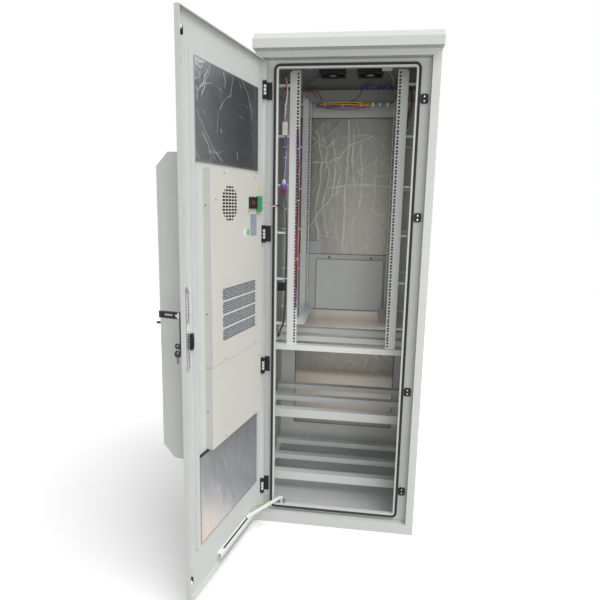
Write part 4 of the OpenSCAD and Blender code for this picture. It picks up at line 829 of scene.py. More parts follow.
# %% Foil on the walls
WALL_RELIEF, WALL_CREASES = 1.0 * MM, 60
SIDE_UPRIGHT, SIDE_SEED, SIDE_WAVINESS = 0.6, 31, 0.2
REAR_UPRIGHT, REAR_SEED, REAR_WAVINESS = 0.7, 47, 0.1
REAR_TOP_TRIM = 92 * MM
REAR_FOLD_SHARES = [
    [(0.464, 0.98), (0.475, 0.84), (0.464, 0.65), (0.453, 0.50), (0.448, 0.04)],
    [(0.276, 0.81), (0.265, 0.715), (0.298, 0.59), (0.265, 0.47), (0.232, 0.36), (0.287, 0.146)],
    [(0.166, 0.915), (0.221, 0.715), (0.205, 0.50), (0.166, 0.346), (0.21, 0.10)],
    [(0.707, 0.877), (0.541, 0.823), (0.475, 0.808), (0.387, 0.715), (0.276, 0.685),
     (0.033, 0.685)],
    [(0.276, 0.50), (0.453, 0.515), (0.696, 0.523), (0.917, 0.515)],
    [(0.033, 0.223), (0.10, 0.177), (0.21, 0.33), (0.342, 0.438), (0.387, 0.47)],
    [(0.12, 0.87), (0.188, 0.823), (0.265, 0.79), (0.342, 0.838)],
    [(0.696, 0.346), (0.784, 0.30), (0.85, 0.308)], [(0.585, 0.81), (0.608, 0.59), (0.597, 0.346)],
    [(0.519, 0.93), (0.508, 0.715), (0.541, 0.50)], [(0.74, 0.715), (0.73, 0.346)],
    [(0.34, 0.78), (0.35, 0.60), (0.33, 0.44)], [(0.39, 0.72), (0.40, 0.56), (0.36, 0.45)],
]


def islands(node):
    """The boxes of the separate solids in a CAD node, found by their corners."""
    shape = bmesh.new()
    shape.from_mesh(nodes[node].data)
    bmesh.ops.remove_doubles(shape, verts=shape.verts, dist=0.01 * MM)
    left, boxes = set(shape.verts), []
    while left:
        heap, group = [left.pop()], []
        while heap:
            vertex = heap.pop()
            group.append(vertex.co.copy())
            near = {edge.other_vert(vertex) for edge in vertex.link_edges} & left
            left -= near
            heap += list(near)
        boxes.append((Vector(map(min, zip(*group))), Vector(map(max, zip(*group)))))
    shape.free()
    return sorted(boxes, key=lambda box: (box[0].z, box[0].x))


side_parts, rear_parts = [], []
for i, (low, high) in enumerate(islands("side_foils")):
    size = high - low
    sheet = crumpled("side", size.y, size.z, size.x, WALL_CREASES, WALL_RELIEF, SIDE_UPRIGHT,
                     SIDE_SEED + i, WALL_CELL, waviness=SIDE_WAVINESS)
    on_left = low.x < 0
    corner = low if on_left else high - UP * size.z
    side_parts.append((sheet, facing(corner, -FRONT if on_left else FRONT, UP)))
for i, (low, high) in enumerate(islands("rear_foils")):
    size = high - low - UP * (REAR_TOP_TRIM if i else 0)
    lit, folds = ("across", REAR_FOLD_SHARES) if i else ("low", ())
    sheet = crumpled("rear", size.x, size.z, size.y, WALL_CREASES, WALL_RELIEF, REAR_UPRIGHT,
                     REAR_SEED + i, REAR_CELL, lit, folds, REAR_WAVINESS)
    rear_parts.append((sheet, facing(Vector((low.x, high.y, low.z)), ACROSS, UP)))
LININGS = [("side_foils", side_parts, side_foil), ("rear_foils", rear_parts, rear_foil)]
for node, parts, foil in LININGS:
    name = node + "_crumpled"
    add_piece(name, joined(name, parts), foil, "cabinet", stands_for=[node])
print("wall sheets:", len(side_parts) + len(rear_parts))

# %% [markdown]
# ## The door seal
#
# The seal is a rubber extrusion: a foot that grips the doorway's lip and a hollow bulb that the
# door squeezes. An extrusion is one outline pushed along a path, so the outline is drawn once and
# carried around the doorway. At each corner the path turns through an arc, as real rubber must,
# because it can't be folded.

# %% Door seal
SEAL_CORNER, SEAL_ARC_STEPS, BULB_STEPS = 20.5 * MM, 9, 12
SEAL_HALF = 5.5 * MM
FOOT_OUTLINE = [(0.8, 0), (0.8, 0.3), (0.55, 0.42)]


def rounded_path(x0, x1, z0, z1, radius, steps):
    """Points and outward directions around a rectangle with round corners."""
    places = []
    for cx, cz, first in ((x1 - radius, z1 - radius, 0), (x0 + radius, z1 - radius, 90),
                          (x0 + radius, z0 + radius, 180), (x1 - radius, z0 + radius, 270)):
        for i in range(steps + 1):
            angle = math.radians(first + 90 * i / steps)
            out = Vector((math.cos(angle), 0, math.sin(angle)))
            places.append((Vector((cx, 0, cz)) + out * radius, out))
    return places


seal_low, seal_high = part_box("door_gasket")
seal_depth = seal_high.y - seal_low.y
bulb = [(math.cos(a), math.sin(a)) for a in np.linspace(0, math.pi, BULB_STEPS + 1)]
profile = ([(-a * SEAL_HALF, b * seal_depth) for a, b in FOOT_OUTLINE]
           + [(-c * SEAL_HALF, seal_depth - SEAL_HALF + s * SEAL_HALF) for c, s in bulb]
           + [(a * SEAL_HALF, b * seal_depth) for a, b in FOOT_OUTLINE[::-1]])
path = rounded_path(seal_low.x + SEAL_HALF, seal_high.x - SEAL_HALF, seal_low.z + SEAL_HALF,
                    seal_high.z - SEAL_HALF, SEAL_CORNER, SEAL_ARC_STEPS)
points = [centre + out * across + Vector((0, seal_high.y - rise, 0))
          for centre, out in path for across, rise in profile]
seal = mesh_of("door_seal", points, bands(len(path), len(profile), True))
add_piece("door_seal", seal, rubber, "cabinet", stands_for=["door_gasket"])
print("seal outline points:", len(profile), "stations:", len(path))

# %% [markdown]
# ## The air conditioner's inside cover
#
# The upper cover is punched with two patterns: a round grille of short slots, and a band of small
# hexagons in front of the cooling coil. CAD has the hexagons coarser, because every hole costs it
# dearly. Here a flat curve does the punching. A 2D curve fills its outline and leaves inner rings
# open, and its extrusion gives the sheet its thickness, so six hundred holes take one loop.

# %% Holes of the upper cover
HEX_STRIPS, HEX_ROWS, HEX_COLUMNS = 4, 5, 28
HEX_WEB, HEX_STRIP_GAP = 0.95 * MM, 5 * MM
VENT_EDGE_U = (54 * MM, 84 * MM)
VENT_RISE, VENT_HEIGHT = 83 * MM, 206 * MM
GRILLE_FROM_LOCK, GRILLE_FROM_TOP = 149 * MM, 122 * MM
GRILLE_RADIUS, GRILLE_ROWS = 66 * MM, 11
GRILLE_SLOT, GRILLE_SLOT_GAP, GRILLE_OPEN = 20 * MM, 4 * MM, 0.62
GRILLE_SLOTS = range(-3, 4)

cover_low, cover_high = door_box("ac_upper_cover")
rings = [[(cover_low.x, cover_low.z), (cover_high.x, cover_low.z), (cover_high.x, cover_high.z),
          (cover_low.x, cover_high.z)]]

vent_u0, vent_u1 = cover_low.x + VENT_EDGE_U[0], cover_high.x - VENT_EDGE_U[1]
pitch = (vent_u1 - vent_u0) / (HEX_COLUMNS + 0.5)
radius = (pitch - HEX_WEB) / math.sqrt(3)
row_step = pitch * math.sqrt(3) / 2
strip_step = (VENT_HEIGHT + HEX_STRIP_GAP) / HEX_STRIPS
for strip in range(HEX_STRIPS):
    middle = cover_low.z + VENT_RISE + (strip + 0.5) * strip_step - HEX_STRIP_GAP / 2
    for row in range(HEX_ROWS):
        z = middle + (row - (HEX_ROWS - 1) / 2) * row_step
        for column in range(HEX_COLUMNS):
            u = vent_u0 + (column + 0.5 + 0.5 * (row % 2)) * pitch
            rings.append([(u + radius * math.sin(a), z + radius * math.cos(a))
                          for a in np.arange(6) * math.pi / 3])

grille_u, grille_z = cover_high.x - GRILLE_FROM_LOCK, cover_high.z - GRILLE_FROM_TOP
row_pitch, slot_pitch = 2 * GRILLE_RADIUS / GRILLE_ROWS, GRILLE_SLOT + GRILLE_SLOT_GAP
for row in range(GRILLE_ROWS):
    z = (row - (GRILLE_ROWS - 1) / 2) * row_pitch
    reach = math.sqrt(GRILLE_RADIUS ** 2 - z * z)
    for slot in GRILLE_SLOTS:
        u0 = max(slot * slot_pitch - GRILLE_SLOT / 2, -reach)
        u1 = min(slot * slot_pitch + GRILLE_SLOT / 2, reach)
        if u1 - u0 > GRILLE_SLOT_GAP:
            rings.append([(grille_u + u, grille_z + z + side * row_pitch * GRILLE_OPEN / 2)
                          for u, side in ((u0, -1), (u1, -1), (u1, 1), (u0, 1))])
print("holes in the cover:", len(rings) - 1)

# %% [markdown]
# The rings become splines of one curve, and the curve becomes a mesh. Four walls join the punched
# front to the door.

# %% Punched upper cover
COVER_SHEET = 1.5 * MM


def punched(name, outlines, thickness):
    """A flat sheet in x and y with its middle at z = 0; rings after the first are holes."""
    curve = bpy.data.curves.new(name, "CURVE")
    curve.dimensions, curve.fill_mode, curve.extrude = "2D", "BOTH", thickness / 2
    for ring in outlines:
        spline = curve.splines.new("POLY")
        spline.points.add(len(ring) - 1)
        spline.use_cyclic_u = True
        for point, (x, y) in zip(spline.points, ring):
            point.co = (x, y, 0, 1)
    holder = add_object(name, curve)
    ready = holder.evaluated_get(bpy.context.evaluated_depsgraph_get())
    mesh = bpy.data.meshes.new_from_object(ready)
    bpy.data.objects.remove(holder)
    return mesh


sheet = punched("cover_front", rings, COVER_SHEET)
front_w = cover_high.y - COVER_SHEET / 2
flat_to_door = Matrix(((1, 0, 0, 0), (0, 0, -1, front_w), (0, 1, 0, 0), (0, 0, 0, 1)))
c0, c1, t = cover_low, cover_high, COVER_SHEET
walls = blocks("cover_walls", [
    ((c0.x, c0.y, c0.z), (c0.x + t, c1.y - t, c1.z)),
    ((c1.x - t, c0.y, c0.z), (c1.x, c1.y - t, c1.z)),
    ((c0.x + t, c0.y, c0.z), (c1.x - t, c1.y - t, c0.z + t)),
    ((c0.x + t, c0.y, c1.z - t), (c1.x - t, c1.y - t, c1.z))])
cover = joined("ac_cover_punched", [(sheet, flat_to_door), (walls, HERE)])
add_piece("ac_cover_punched", cover, cover_paint, "door", DOOR, ["ac_upper_cover"])
print("faces in the cover:", len(cover.polygons))

# %% [markdown]
# ## Wires
#
# A wire is a round tube along a smooth route. A few route points are enough: a Catmull-Rom spline
# passes through all of them, and the tube's rings are turned as little as possible from one to
# the next, so that it doesn't twist. Each point of the tube also stores how far around it lies.
# That number draws the yellow and green stripes of an earth wire.

# %% Cable jackets and tubes
TUBE_SIDES, SAMPLES_PER_SPAN = 10, 7
STRIPE_FROM = 0.27
JACKET_TONES = {"black": (0.015, 0.015, 0.017), "red": (0.42, 0.02, 0.025),
                "crimson": (0.22, 0.015, 0.03), "blue": (0.03, 0.09, 0.42),
                "purple": (0.17, 0.06, 0.32), "yellow": (0.58, 0.44, 0.02),
                "white": (0.74, 0.74, 0.72), "earth": (0.62, 0.55, 0.03)}
EARTH_STRIPE = colour(0.05, 0.30, 0.06)


def jacket(name, tone, stripe=None):
    material, signal = start(name)
    rub = noise(signal, 45, 3)
    body = signal.mix(rub, tone, shifted(tone, 1.25, 0.01))
    if stripe:
        band = signal.math("PINGPONG", signal.attribute("around") * 2, 0.5) > STRIPE_FROM
        body = signal.mix(band, body, stripe)
    return coat(material, {"Base Color": body, "Roughness": 0.34 + rub * 0.14})


JACKETS = {name: jacket("jacket_" + name, colour(*tone), EARTH_STRIPE if name == "earth" else None)
           for name, tone in JACKET_TONES.items()}


def smooth_route(points):
    """A Catmull-Rom spline through the points."""
    ends = [points[0] * 2 - points[1]] + list(points) + [points[-1] * 2 - points[-2]]
    route = []
    for a, b, c, d in zip(ends, ends[1:], ends[2:], ends[3:]):
        for i in range(SAMPLES_PER_SPAN):
            t = i / SAMPLES_PER_SPAN
            route.append(0.5 * (2 * b + (c - a) * t + (2 * a - 5 * b + 4 * c - d) * t ** 2
                                + (3 * b - a - 3 * c + d) * t ** 3))
    return route + [points[-1].copy()]


def heading_at(route, i):
    return (route[min(i + 1, len(route) - 1)] - route[max(i - 1, 0)]).normalized()


def tube(name, points, diameter, smooth=True):
    """A round wire along a route, with closed ends."""
    route = smooth_route(points) if smooth else list(points)
    heading = (route[1] - route[0]).normalized()
    side = heading.orthogonal().normalized()
    verts, around = [], []
    for i, centre in enumerate(route):
        ahead = heading_at(route, i)
        side = heading.rotation_difference(ahead) @ side
        side = (side - ahead * side.dot(ahead)).normalized()
        heading, across = ahead, ahead.cross(side)
        for k in range(TUBE_SIDES):
            angle = 2 * math.pi * k / TUBE_SIDES
            out = side * math.cos(angle) + across * math.sin(angle)
            verts.append(centre + out * diameter / 2)
            around.append(k / TUBE_SIDES)
    last = (len(route) - 1) * TUBE_SIDES
    caps = [tuple(range(TUBE_SIDES - 1, -1, -1)), tuple(range(last, last + TUBE_SIDES))]
    mesh = mesh_of(name, verts, bands(len(route), TUBE_SIDES) + caps)
    mesh.attributes.new("around", "FLOAT", "POINT").data.foreach_set("value", around)
    return mesh


def wire(name, points, diameter, tone, stands_for=(), smooth=True):
    """A wire that stays in the cabinet; its diameter is in millimetres."""
    mesh = tube(name, points, diameter * MM, smooth)
    return add_piece(name, mesh, JACKETS[tone], "cabinet", stands_for=stands_for)


print("jackets:", ", ".join(JACKETS))

# %% [markdown]
# ## Wires across the hinge
#
# Two wires go from the frame to the door: an earth strap at the foot, and the lead of the
# controller. When the door swings they must bend, and one rigid body can't do that. Here each is
# one piece, laid along its route for the door as it stands open, and it rides on no body.

# %% Earth strap and controller lead
STRAP_DIAMETER, LEAD_DIAMETER, SLEEVE_DIAMETER = 5 * MM, 2.4 * MM, 5.4 * MM
SLEEVE_FROM = 6
LEAD_SIDE = Vector((0, 0, 1.3 * MM))
STRAP_ROUTE = ([door_spot(*p) for p in ((60, 9.2, 108), (60, 14, 108), (52, 22, 103), (34, 27, 99),
                                        (14, 30, 98))]
               + [spot(*p) for p in ((-326, 22, 99), (-323, 31, 103), (-321.5, 38, 108),
                                     (-321.5, 43.6, 108))])
LEAD_ROUTE = ([door_spot(*p) for p in ((91.7, 38, 1543), (85, 38, 1543), (70, 45, 1540),
                                       (52, 50, 1537), (30, 52, 1534), (8, 50, 1533))]
              + [spot(*p) for p in ((-295, 18, 1534), (-284, 34, 1536), (-281, 52, 1535),
                                    (-284, 80, 1530), (-287, 120, 1527), (-290, 170, 1523),
                                    (-293, 205, 1520), (-294.8, 221, 1519.8))])


def bent_wire(name, points, diameter, tone, stands_for=()):
    piece = add_piece(name, tube(name, points, diameter), JACKETS[tone], None,
                      stands_for=stands_for)
    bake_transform(piece)


bent_wire("earth_strap_striped", STRAP_ROUTE, STRAP_DIAMETER, "earth",
          ["earth_strap"])
for tone, shift in (("red", LEAD_SIDE), ("white", -LEAD_SIDE)):
    route = [p + shift for p in LEAD_ROUTE]
    bent_wire("controller_lead_" + tone, route, LEAD_DIAMETER, tone,
              ["controller_lead"])
bent_wire("controller_lead_sleeve", LEAD_ROUTE[SLEEVE_FROM:], SLEEVE_DIAMETER, "black")
print("pieces across the hinge: 4")

# %% [markdown]
# ## Harnesses
#
# A harness is several wires that run together and are held by ties. Each wire here follows the
# middle of the CAD harness at its own angle around it, and the angle drifts along the way, which
# is how wires lie when someone lays them by hand. A tie is a short ring around the lot.

# %% Bundles and ties
TIE_WIDTH, TIE_THICK, TIE_STEPS = 3.2 * MM, 1.1 * MM, 16
TIE_PROFILE = ((-0.5, 0), (0.5, 0), (0.5, 1), (-0.5, 1))
WANDER, WANDER_WAVES, STEEP, BUNDLE_STEP = 0.8, 5, 0.7, 4


def bundle(name, points, spread, wires, twist, seed, node=None):
    """Wires around one route, in millimetres; the first of them stands for the CAD harness."""
    rng = random.Random(seed)
    route = smooth_route(points)
    picks = list(range(0, len(route) - 1, BUNDLE_STEP)) + [len(route) - 1]
    for i, (tone, diameter) in enumerate(wires):
        turn, wander = 2 * math.pi * i / len(wires), rng.uniform(-WANDER, WANDER)
        beside = []
        for pick in picks:
            ahead, along = heading_at(route, pick), pick / len(route)
            side = ahead.orthogonal().normalized() if abs(ahead.z) < STEEP else (
                Vector((0, 1, 0)) - ahead * ahead.y).normalized()
            angle = turn + twist * along + wander * math.sin(WANDER_WAVES * along + i)
            out = side * math.cos(angle) + ahead.cross(side) * math.sin(angle)
            beside.append(route[pick] + out * (spread * MM))
        wire(f"{name}_{i}", beside, diameter, tone, [node] if node and i == 0 else ())


def tie(centre, ahead, radius):
    """A flat band around a bundle; its radius is in millimetres."""
    side = ahead.orthogonal().normalized()
    verts = []
    for a in np.arange(TIE_STEPS) * 2 * math.pi / TIE_STEPS:
        out = side * math.cos(a) + ahead.cross(side) * math.sin(a)
        verts += [centre + out * (radius * MM + lift * TIE_THICK) + ahead * shift * TIE_WIDTH
                  for shift, lift in TIE_PROFILE]
    return mesh_of("tie", verts, bands(TIE_STEPS, len(TIE_PROFILE), True), False)


def add_ties(name, ties):
    mesh = joined(name, [(ring, HERE) for ring in ties])
    add_piece(name, mesh, nylon, "cabinet")


TRAY_STATIONS = [(0.0, 0.0), (0.17, -0.5), (0.35, 0.5), (0.5, -0.5), (0.68, 0.5), (0.84, -0.5),
                 (1.0, 0.0)]
TRAY_WIRES = [("yellow", 5), ("red", 4.4), ("purple", 4.4), ("blue", 4), ("black", 5),
              ("yellow", 4.4), ("crimson", 4.4)]
TRAY_SPREAD, TRAY_TWIST, TRAY_SEED, TRAY_TIE = 7.6, 3.0, 5, 9.6
tray_low, tray_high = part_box("tray_harness")
tray_middle = (tray_low + tray_high) / 2
tray_route = [Vector((tray_low.x + (tray_high.x - tray_low.x) * share, tray_middle.y,
                      tray_middle.z + sag * MM)) for share, sag in TRAY_STATIONS]
bundle("tray_wire", tray_route, TRAY_SPREAD, TRAY_WIRES, TRAY_TWIST, TRAY_SEED, "tray_harness")
add_ties("tray_ties", [tie(place, ACROSS, TRAY_TIE) for place in tray_route[1::2]])
print("wires in the tray:", len(TRAY_WIRES))

# %% [markdown]
# In the left bay the wires change on their way down: a white cable at the top, red and white
# wires into a plug, then a purple cable that ends in spare coils, and black cables below. They
# share the CAD harness as their line, which is a list of heights with their x. Each bundle takes
# a part of it.

# %% Wires in the left bay
BAY_V = 228
BAY_X = [(2120, -291), (2060, -285.5), (1960, -291), (1895, -291), (1836, -284), (1760, -290),
         (1674, -294), (1600, -292), (1520, -283), (1410, -278), (1300, -278), (1180, -279),
         (1060, -281), (950, -288)]
BAY_LINE = [spot(x, BAY_V, z) for z, x in BAY_X]
BAY_BUNDLES = [
    ("bay_top_wire", BAY_LINE[:4], 3.2, [("white", 5), ("red", 3), ("red", 3), ("white", 2.6)],
     7.0, 7, "side_harness"),
    ("bay_middle_wire", BAY_LINE[3:8], 3.0,
     [("white", 3), ("purple", 5), ("blue", 3), ("purple", 4)], 3.0, 8),
    ("bay_low_wire", BAY_LINE[7:], 2.6, [("black", 5), ("black", 4)], 1.0, 9),
]
for row in BAY_BUNDLES:
    bundle(*row)
print("bundles in the bay:", len(BAY_BUNDLES))

# %% [markdown]
# A coil is a flat spiral. The spare coils are one spiral at four sizes, hung close together.

# %% Spare coils, plug and clip
COIL_CENTRE, COIL_TURNS, COIL_SAMPLES = (-294, 221, 1625), 3.2, 14
COIL_REACH, COIL_STEP, COIL_WIDE, COIL_TALL, COIL_RISE = 22, 3.1, 0.62, 1.5, 0.8
COIL_WIRE = 4.4
KNOT = [("purple", 1.0, (0, 0, 0)), ("white", 0.5, (1, -5, 17)), ("crimson", 0.66, (5, -5.4, -20)),
        ("blue", 0.4, (2, -6, 2))]
knot_heart = spot(*COIL_CENTRE)
coil = []
for i in range(int(COIL_TURNS * COIL_SAMPLES)):
    turn = i / COIL_SAMPLES
    angle, reach = turn * 2 * math.pi, COIL_REACH - turn * COIL_STEP
    coil.append(Vector((reach * COIL_WIDE * math.cos(angle), -turn * COIL_RISE,
                        reach * COIL_TALL * math.sin(angle))) * MM)
for tone, share, shift in KNOT:
    route = [knot_heart + p * share + Vector(shift) * MM for p in coil]
    wire("spare_coil_" + tone, route, COIL_WIRE, tone, smooth=False)
plug_ribs = [(-304.5, 214.5, z, -278.5, 224, z + 4) for z in np.linspace(1868, 1912, 4)]
add_blocks("bay_plug", [(-303, 216, 1862, -280, 236, 1922)] + plug_ribs, nylon, "cabinet")
add_blocks("bay_clip", [(-318, 222, 1118, -276, 227, 1160), (-318, 212, 1132, -276, 222, 1138)],
           black_plastic, "cabinet")
print("points in a coil:", len(coil))

# %% [markdown]
# Another bundle runs down the rail in three lengths, and the bay's wires end in black tails. Ties
# hold both lines.

# %% Bundles on the rail, tails and ties
RAIL_V, RAIL_SPREAD, RAIL_TWIST, RAIL_TIE, BAY_TIE = 221.6, 3.3, 8.0, 5.2, 6.4
RAIL_X = [(1890, -229.5), (1800, -227.5), (1700, -225.5), (1560, -225), (1420, -224.5),
          (1280, -225), (1150, -224.5), (1040, -225.5)]
TAIL = [(-288, 228, 950), (-297, 224, 926), (-308, 221, 902), (-315, 220, 884)]
RAIL_LINE = [spot(x, RAIL_V, z) for z, x in RAIL_X]
RAIL_BUNDLES = [
    ("rail_top_wire", RAIL_LINE[:4], RAIL_SPREAD,
     [("purple", 5), ("black", 5), ("crimson", 4.6), ("black", 4)], RAIL_TWIST, 1890),
    ("rail_low_wire", RAIL_LINE[3:7], RAIL_SPREAD,
     [("crimson", 5), ("black", 4.6), ("crimson", 5), ("red", 3.4)], RAIL_TWIST, 1560),
    ("rail_end_wire", RAIL_LINE[6:], RAIL_SPREAD,
     [("blue", 5), ("black", 4.6), ("crimson", 4)], RAIL_TWIST, 1150),
    ("bay_tail_wire", [spot(*p) for p in TAIL], 4.2,
     [("black", 6), ("black", 4), ("crimson", 4)], 1.5, 14),
]
for row in RAIL_BUNDLES:
    bundle(*row)
bay_ties = ([tie(place, UP, RAIL_TIE) for place in RAIL_LINE[1:-1:2]]
            + [tie(place, UP, BAY_TIE) for place in BAY_LINE[2::3]])
add_ties("bay_ties", bay_ties)
print("ties:", len(bay_ties))

# %% [markdown]
# Under the ceiling, the fans' own leads run to the left rail and to the terminal strip, and a few
# plugs hang over the edge of the cable tray.

# %% Ceiling wires and plugs
CEILING_WIRES = [
    ("black", 3.4, [(-141, 330, 2156), (-160, 350, 2152), (-190, 380, 2146), (-225, 420, 2138),
                    (-244, 470, 2126)]),
    ("black", 3.0, [(-141, 345, 2154), (-165, 372, 2147), (-200, 420, 2140), (-240, 480, 2120)]),
    ("crimson", 4.0, [(-262, 660, 2128), (-246, 640, 2152), (-222, 634, 2156), (-196, 634, 2148),
                      (-172, 634, 2118), (-160, 628, 2092)]),
    ("crimson", 4.0, [(-258, 664, 2110), (-236, 640, 2140), (-214, 634, 2140), (-190, 634, 2110)]),
    ("black", 3.2, [(157, 330, 2156), (140, 380, 2156), (104, 480, 2158), (66, 600, 2156),
                    (40, 634, 2120), (10, 633, 2096), (-16, 626, 2084)]),
    ("yellow", 4.4, [(-178, 622, 2066), (-130, 612, 2077), (-40, 610, 2081), (40, 611, 2079),
                     (86, 620, 2066), (120, 624, 2060)]),
    ("crimson", 4.4, [(-178, 620, 2062), (-120, 615, 2050), (-50, 614, 2045), (30, 615, 2049),
                      (84, 622, 2062)]),
    ("white", 3.0, [(172, 264, 2160), (184, 330, 2162), (206, 450, 2160), (214, 590, 2158)]),
    ("black", 5.0, [(262, 300, 2140), (284, 298, 2080), (290, 296, 2010), (280, 298, 1960),
                    (276, 300, 1900)]),
    ("crimson", 3.6, [(270, 306, 2140), (292, 304, 2070), (296, 302, 2000), (286, 304, 1940)]),
]
TRAY_PLUGS = {"blue": (60, 112, 176), "purple": (88, 146)}
PLUG_WIDE, PLUG_V, PLUG_Z = 15, (622, 638), (2149, 2162)
LOOP_TONES = ("blue", "purple", "crimson", "blue", "black", "purple", "blue")
LOOP_START, LOOP_STEP, LOOP_WIRE = 44, 23, 3.6

for i, (tone, diameter, route) in enumerate(CEILING_WIRES):
    wire(f"ceiling_wire_{i}", [spot(*p) for p in route], diameter, tone)
for tone, places in TRAY_PLUGS.items():
    boxes = [(x, PLUG_V[0], PLUG_Z[0], x + PLUG_WIDE, PLUG_V[1], PLUG_Z[1]) for x in places]
    add_blocks("tray_plugs_" + tone, boxes, JACKETS[tone], "cabinet")
for i, tone in enumerate(LOOP_TONES):
    x = LOOP_START + LOOP_STEP * i
    loop = [(x, 646, 2150), (x + 6, 630, 2162), (x + 14, 616, 2158 - 3 * (i % 3)),
            (x + 24, 610, 2146 - 5 * (i % 2)), (x + 34, 618, 2152), (x + 36, 632, 2156)]
    wire(f"tray_loop_{i}", [spot(*p) for p in loop], LOOP_WIRE, tone)
print("ceiling wires:", len(CEILING_WIRES), "loops:", len(LOOP_TONES))

# %% [markdown]
# ## Screws
#
# Screws are what a person uses to judge scale, so they are worth modelling. A pan-head screw is a
# low dome with a cross recess. Turned in steps, the dome is a set of rings, and the recess is one
# more ring whose radius is long on the four arms of the cross and short between them, sunk below
# the top.

# %% Screw heads
SCREW_SIDES = 24
CROSS_ARMS = {0, 1, 5, 6, 7, 11, 12, 13, 17, 18, 19, 23}
CROSS = [0.52 if k in CROSS_ARMS else 0.2 for k in range(SCREW_SIDES)]
HEAD_RINGS = [([reach] * SCREW_SIDES, rise)
              for reach, rise in ((1.0, 0.0), (1.0, 0.35), (0.9, 0.75), (0.68, 1.0))]
HEAD_RINGS += [(CROSS, 0.98), (CROSS, 0.45)]


def screw_head(radius, height):
    """A pan head on z = 0, with its cross recess towards +z."""
    verts = []
    for reaches, rise in HEAD_RINGS:
        for k, reach in enumerate(reaches):
            angle = 2 * math.pi * k / SCREW_SIDES
            verts.append((radius * reach * math.cos(angle), radius * reach * math.sin(angle),
                          height * rise))
    floor_of_cross = tuple(range(len(verts) - SCREW_SIDES, len(verts)))
    return mesh_of("screw", verts, bands(len(HEAD_RINGS), SCREW_SIDES) + [floor_of_cross], False)


def screws(name, places, radius, height, material, body, slot):
    """One piece of many screws. Each place is a point and the direction its head faces."""
    parts = []
    for place, out in places:
        side = out.orthogonal().normalized()
        parts.append((screw_head(radius * MM, height * MM), facing(place, side, out.cross(side))))
    add_piece(name, joined(name, parts), material, body)
    return len(parts)


print("rings in a screw head:", len(HEAD_RINGS))

# %% [markdown]
# The screws of the covers are listed by their place on the door. For the others, the box of the CAD
# piece that they hold gives the face and the height. Each set of screws is one piece.

# %% Screws in their places
INSIDE_W = cover_high.y / MM
OUTSIDE_U = door_box("ac_weather_cover")[1].x / MM
COVER_SCREWS = [(419.6, 1650), (151.4, 1648), (484, 1554.5), (214.5, 1507), (416, 944), (148, 944),
                (100, 872), (416, 622), (148, 622)]
WALL_U, WALL_W, WALL_SCREWS_Z = 522, 12, (1532, 1138, 760)
WEATHER_U, WEATHER_W, WEATHER_SCREWS_Z = (60, OUTSIDE_U), -40, (640, 866, 1095, 1360, 1640)
BUFFER_SINK, BUFFER_HALF = 1.5 * MM, 9 * MM
HINGE_INSET, HINGE_HALF = 5 * MM, 24 * MM
FILTER_X, FILTER_FLANGE, FILTER_DROP = (-107, 137), 2 * MM, 9 * MM
HOOD_V, HOOD_RISE = (80, 385, 690), 16 * MM

cover_screws = [(door_spot(u, INSIDE_W, z), DOOR_W) for u, z in COVER_SCREWS]
cover_screws += [(door_spot(WALL_U, WALL_W, z), DOOR_U) for z in WALL_SCREWS_Z]
weather_sides = ((WEATHER_U[1], DOOR_U), (WEATHER_U[0], -DOOR_U))
weather_screws = [(door_spot(u, WEATHER_W, z), out) for u, out in weather_sides
                  for z in WEATHER_SCREWS_Z]
buffer_screws, hinge_screws = [], []
for low, high in islands("door_buffers"):
    x, y, z = (low.x + high.x) / 2, low.y + BUFFER_SINK, (low.z + high.z) / 2
    buffer_screws += [(Vector((x, y, z + s * BUFFER_HALF)), FRONT) for s in (-1, 1)]
for low, high in islands("hinge_blocks"):
    x, y, z = high.x - HINGE_INSET, high.y - HINGE_INSET, (low.z + high.z) / 2
    hinge_screws += [(Vector((x, y, z + s * HINGE_HALF)), FRONT) for s in (-1, 1)]
filter_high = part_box("filter_cover")[1]
filter_y, filter_z = filter_high.y - FILTER_FLANGE, filter_high.z - FILTER_DROP
filter_screws = [(Vector((x * MM, filter_y, filter_z)), FRONT) for x in FILTER_X]
hood_low, hood_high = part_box("roof_hood")
hood_screws = [(Vector((x, FRONT_Y + v * MM, hood_low.z + HOOD_RISE)), out)
               for x, out in ((hood_low.x, -ACROSS), (hood_high.x, ACROSS)) for v in HOOD_V]

SCREWS = [
    ("ac_cover_screws", cover_screws, 3.4, 1.8, screw_steel, "door", "bright_steel"),
    ("weather_cover_screws", weather_screws, 4.5, 2.4, steel, "door", "bright_steel"),
    ("buffer_screws", buffer_screws, 4.2, 1.6, steel, "cabinet", "bright_steel"),
    ("hinge_screws", hinge_screws, 3.2, 2.2, black_metal, "cabinet", "black_metal"),
    ("filter_screws", filter_screws, 6, 3.4, black_metal, "cabinet", "black_metal"),
    ("hood_screws", hood_screws, 5, 2.6, steel, "cabinet", "bright_steel"),
]
print("screws:", sum(screws(*row) for row in SCREWS))

# %% [markdown]
# ## Small things on the air conditioner
#
# The controller has a lit display behind its window. Its digits are built the way a real display
# builds them, from seven bars that are on or off. Beside it are a plain label and a round
# sticker, and below the cover a black strip lies along the top of the lower pad. The labels are
# plain.

# %% Display
SEVEN_BARS = {"t": (0, 2, 1, 2), "m": (0, 1, 1, 1), "b": (0, 0, 1, 0), "ul": (0, 1, 0, 2),
              "ur": (1, 1, 1, 2), "ll": (0, 0, 0, 1), "lr": (1, 0, 1, 1)}
DIGITS = {"2": "t ur m ll b", "5": "t ul m lr b"}
SHOWN = "25"
BAR_LONG, BAR_HALF, BAR_PROUD, DIGIT_GAP = 6.5, 0.75, 0.5, 8
WINDOW_SINK, DIGIT_FROM_LOCK, DIGIT_RISE = 1.8, 22, 18


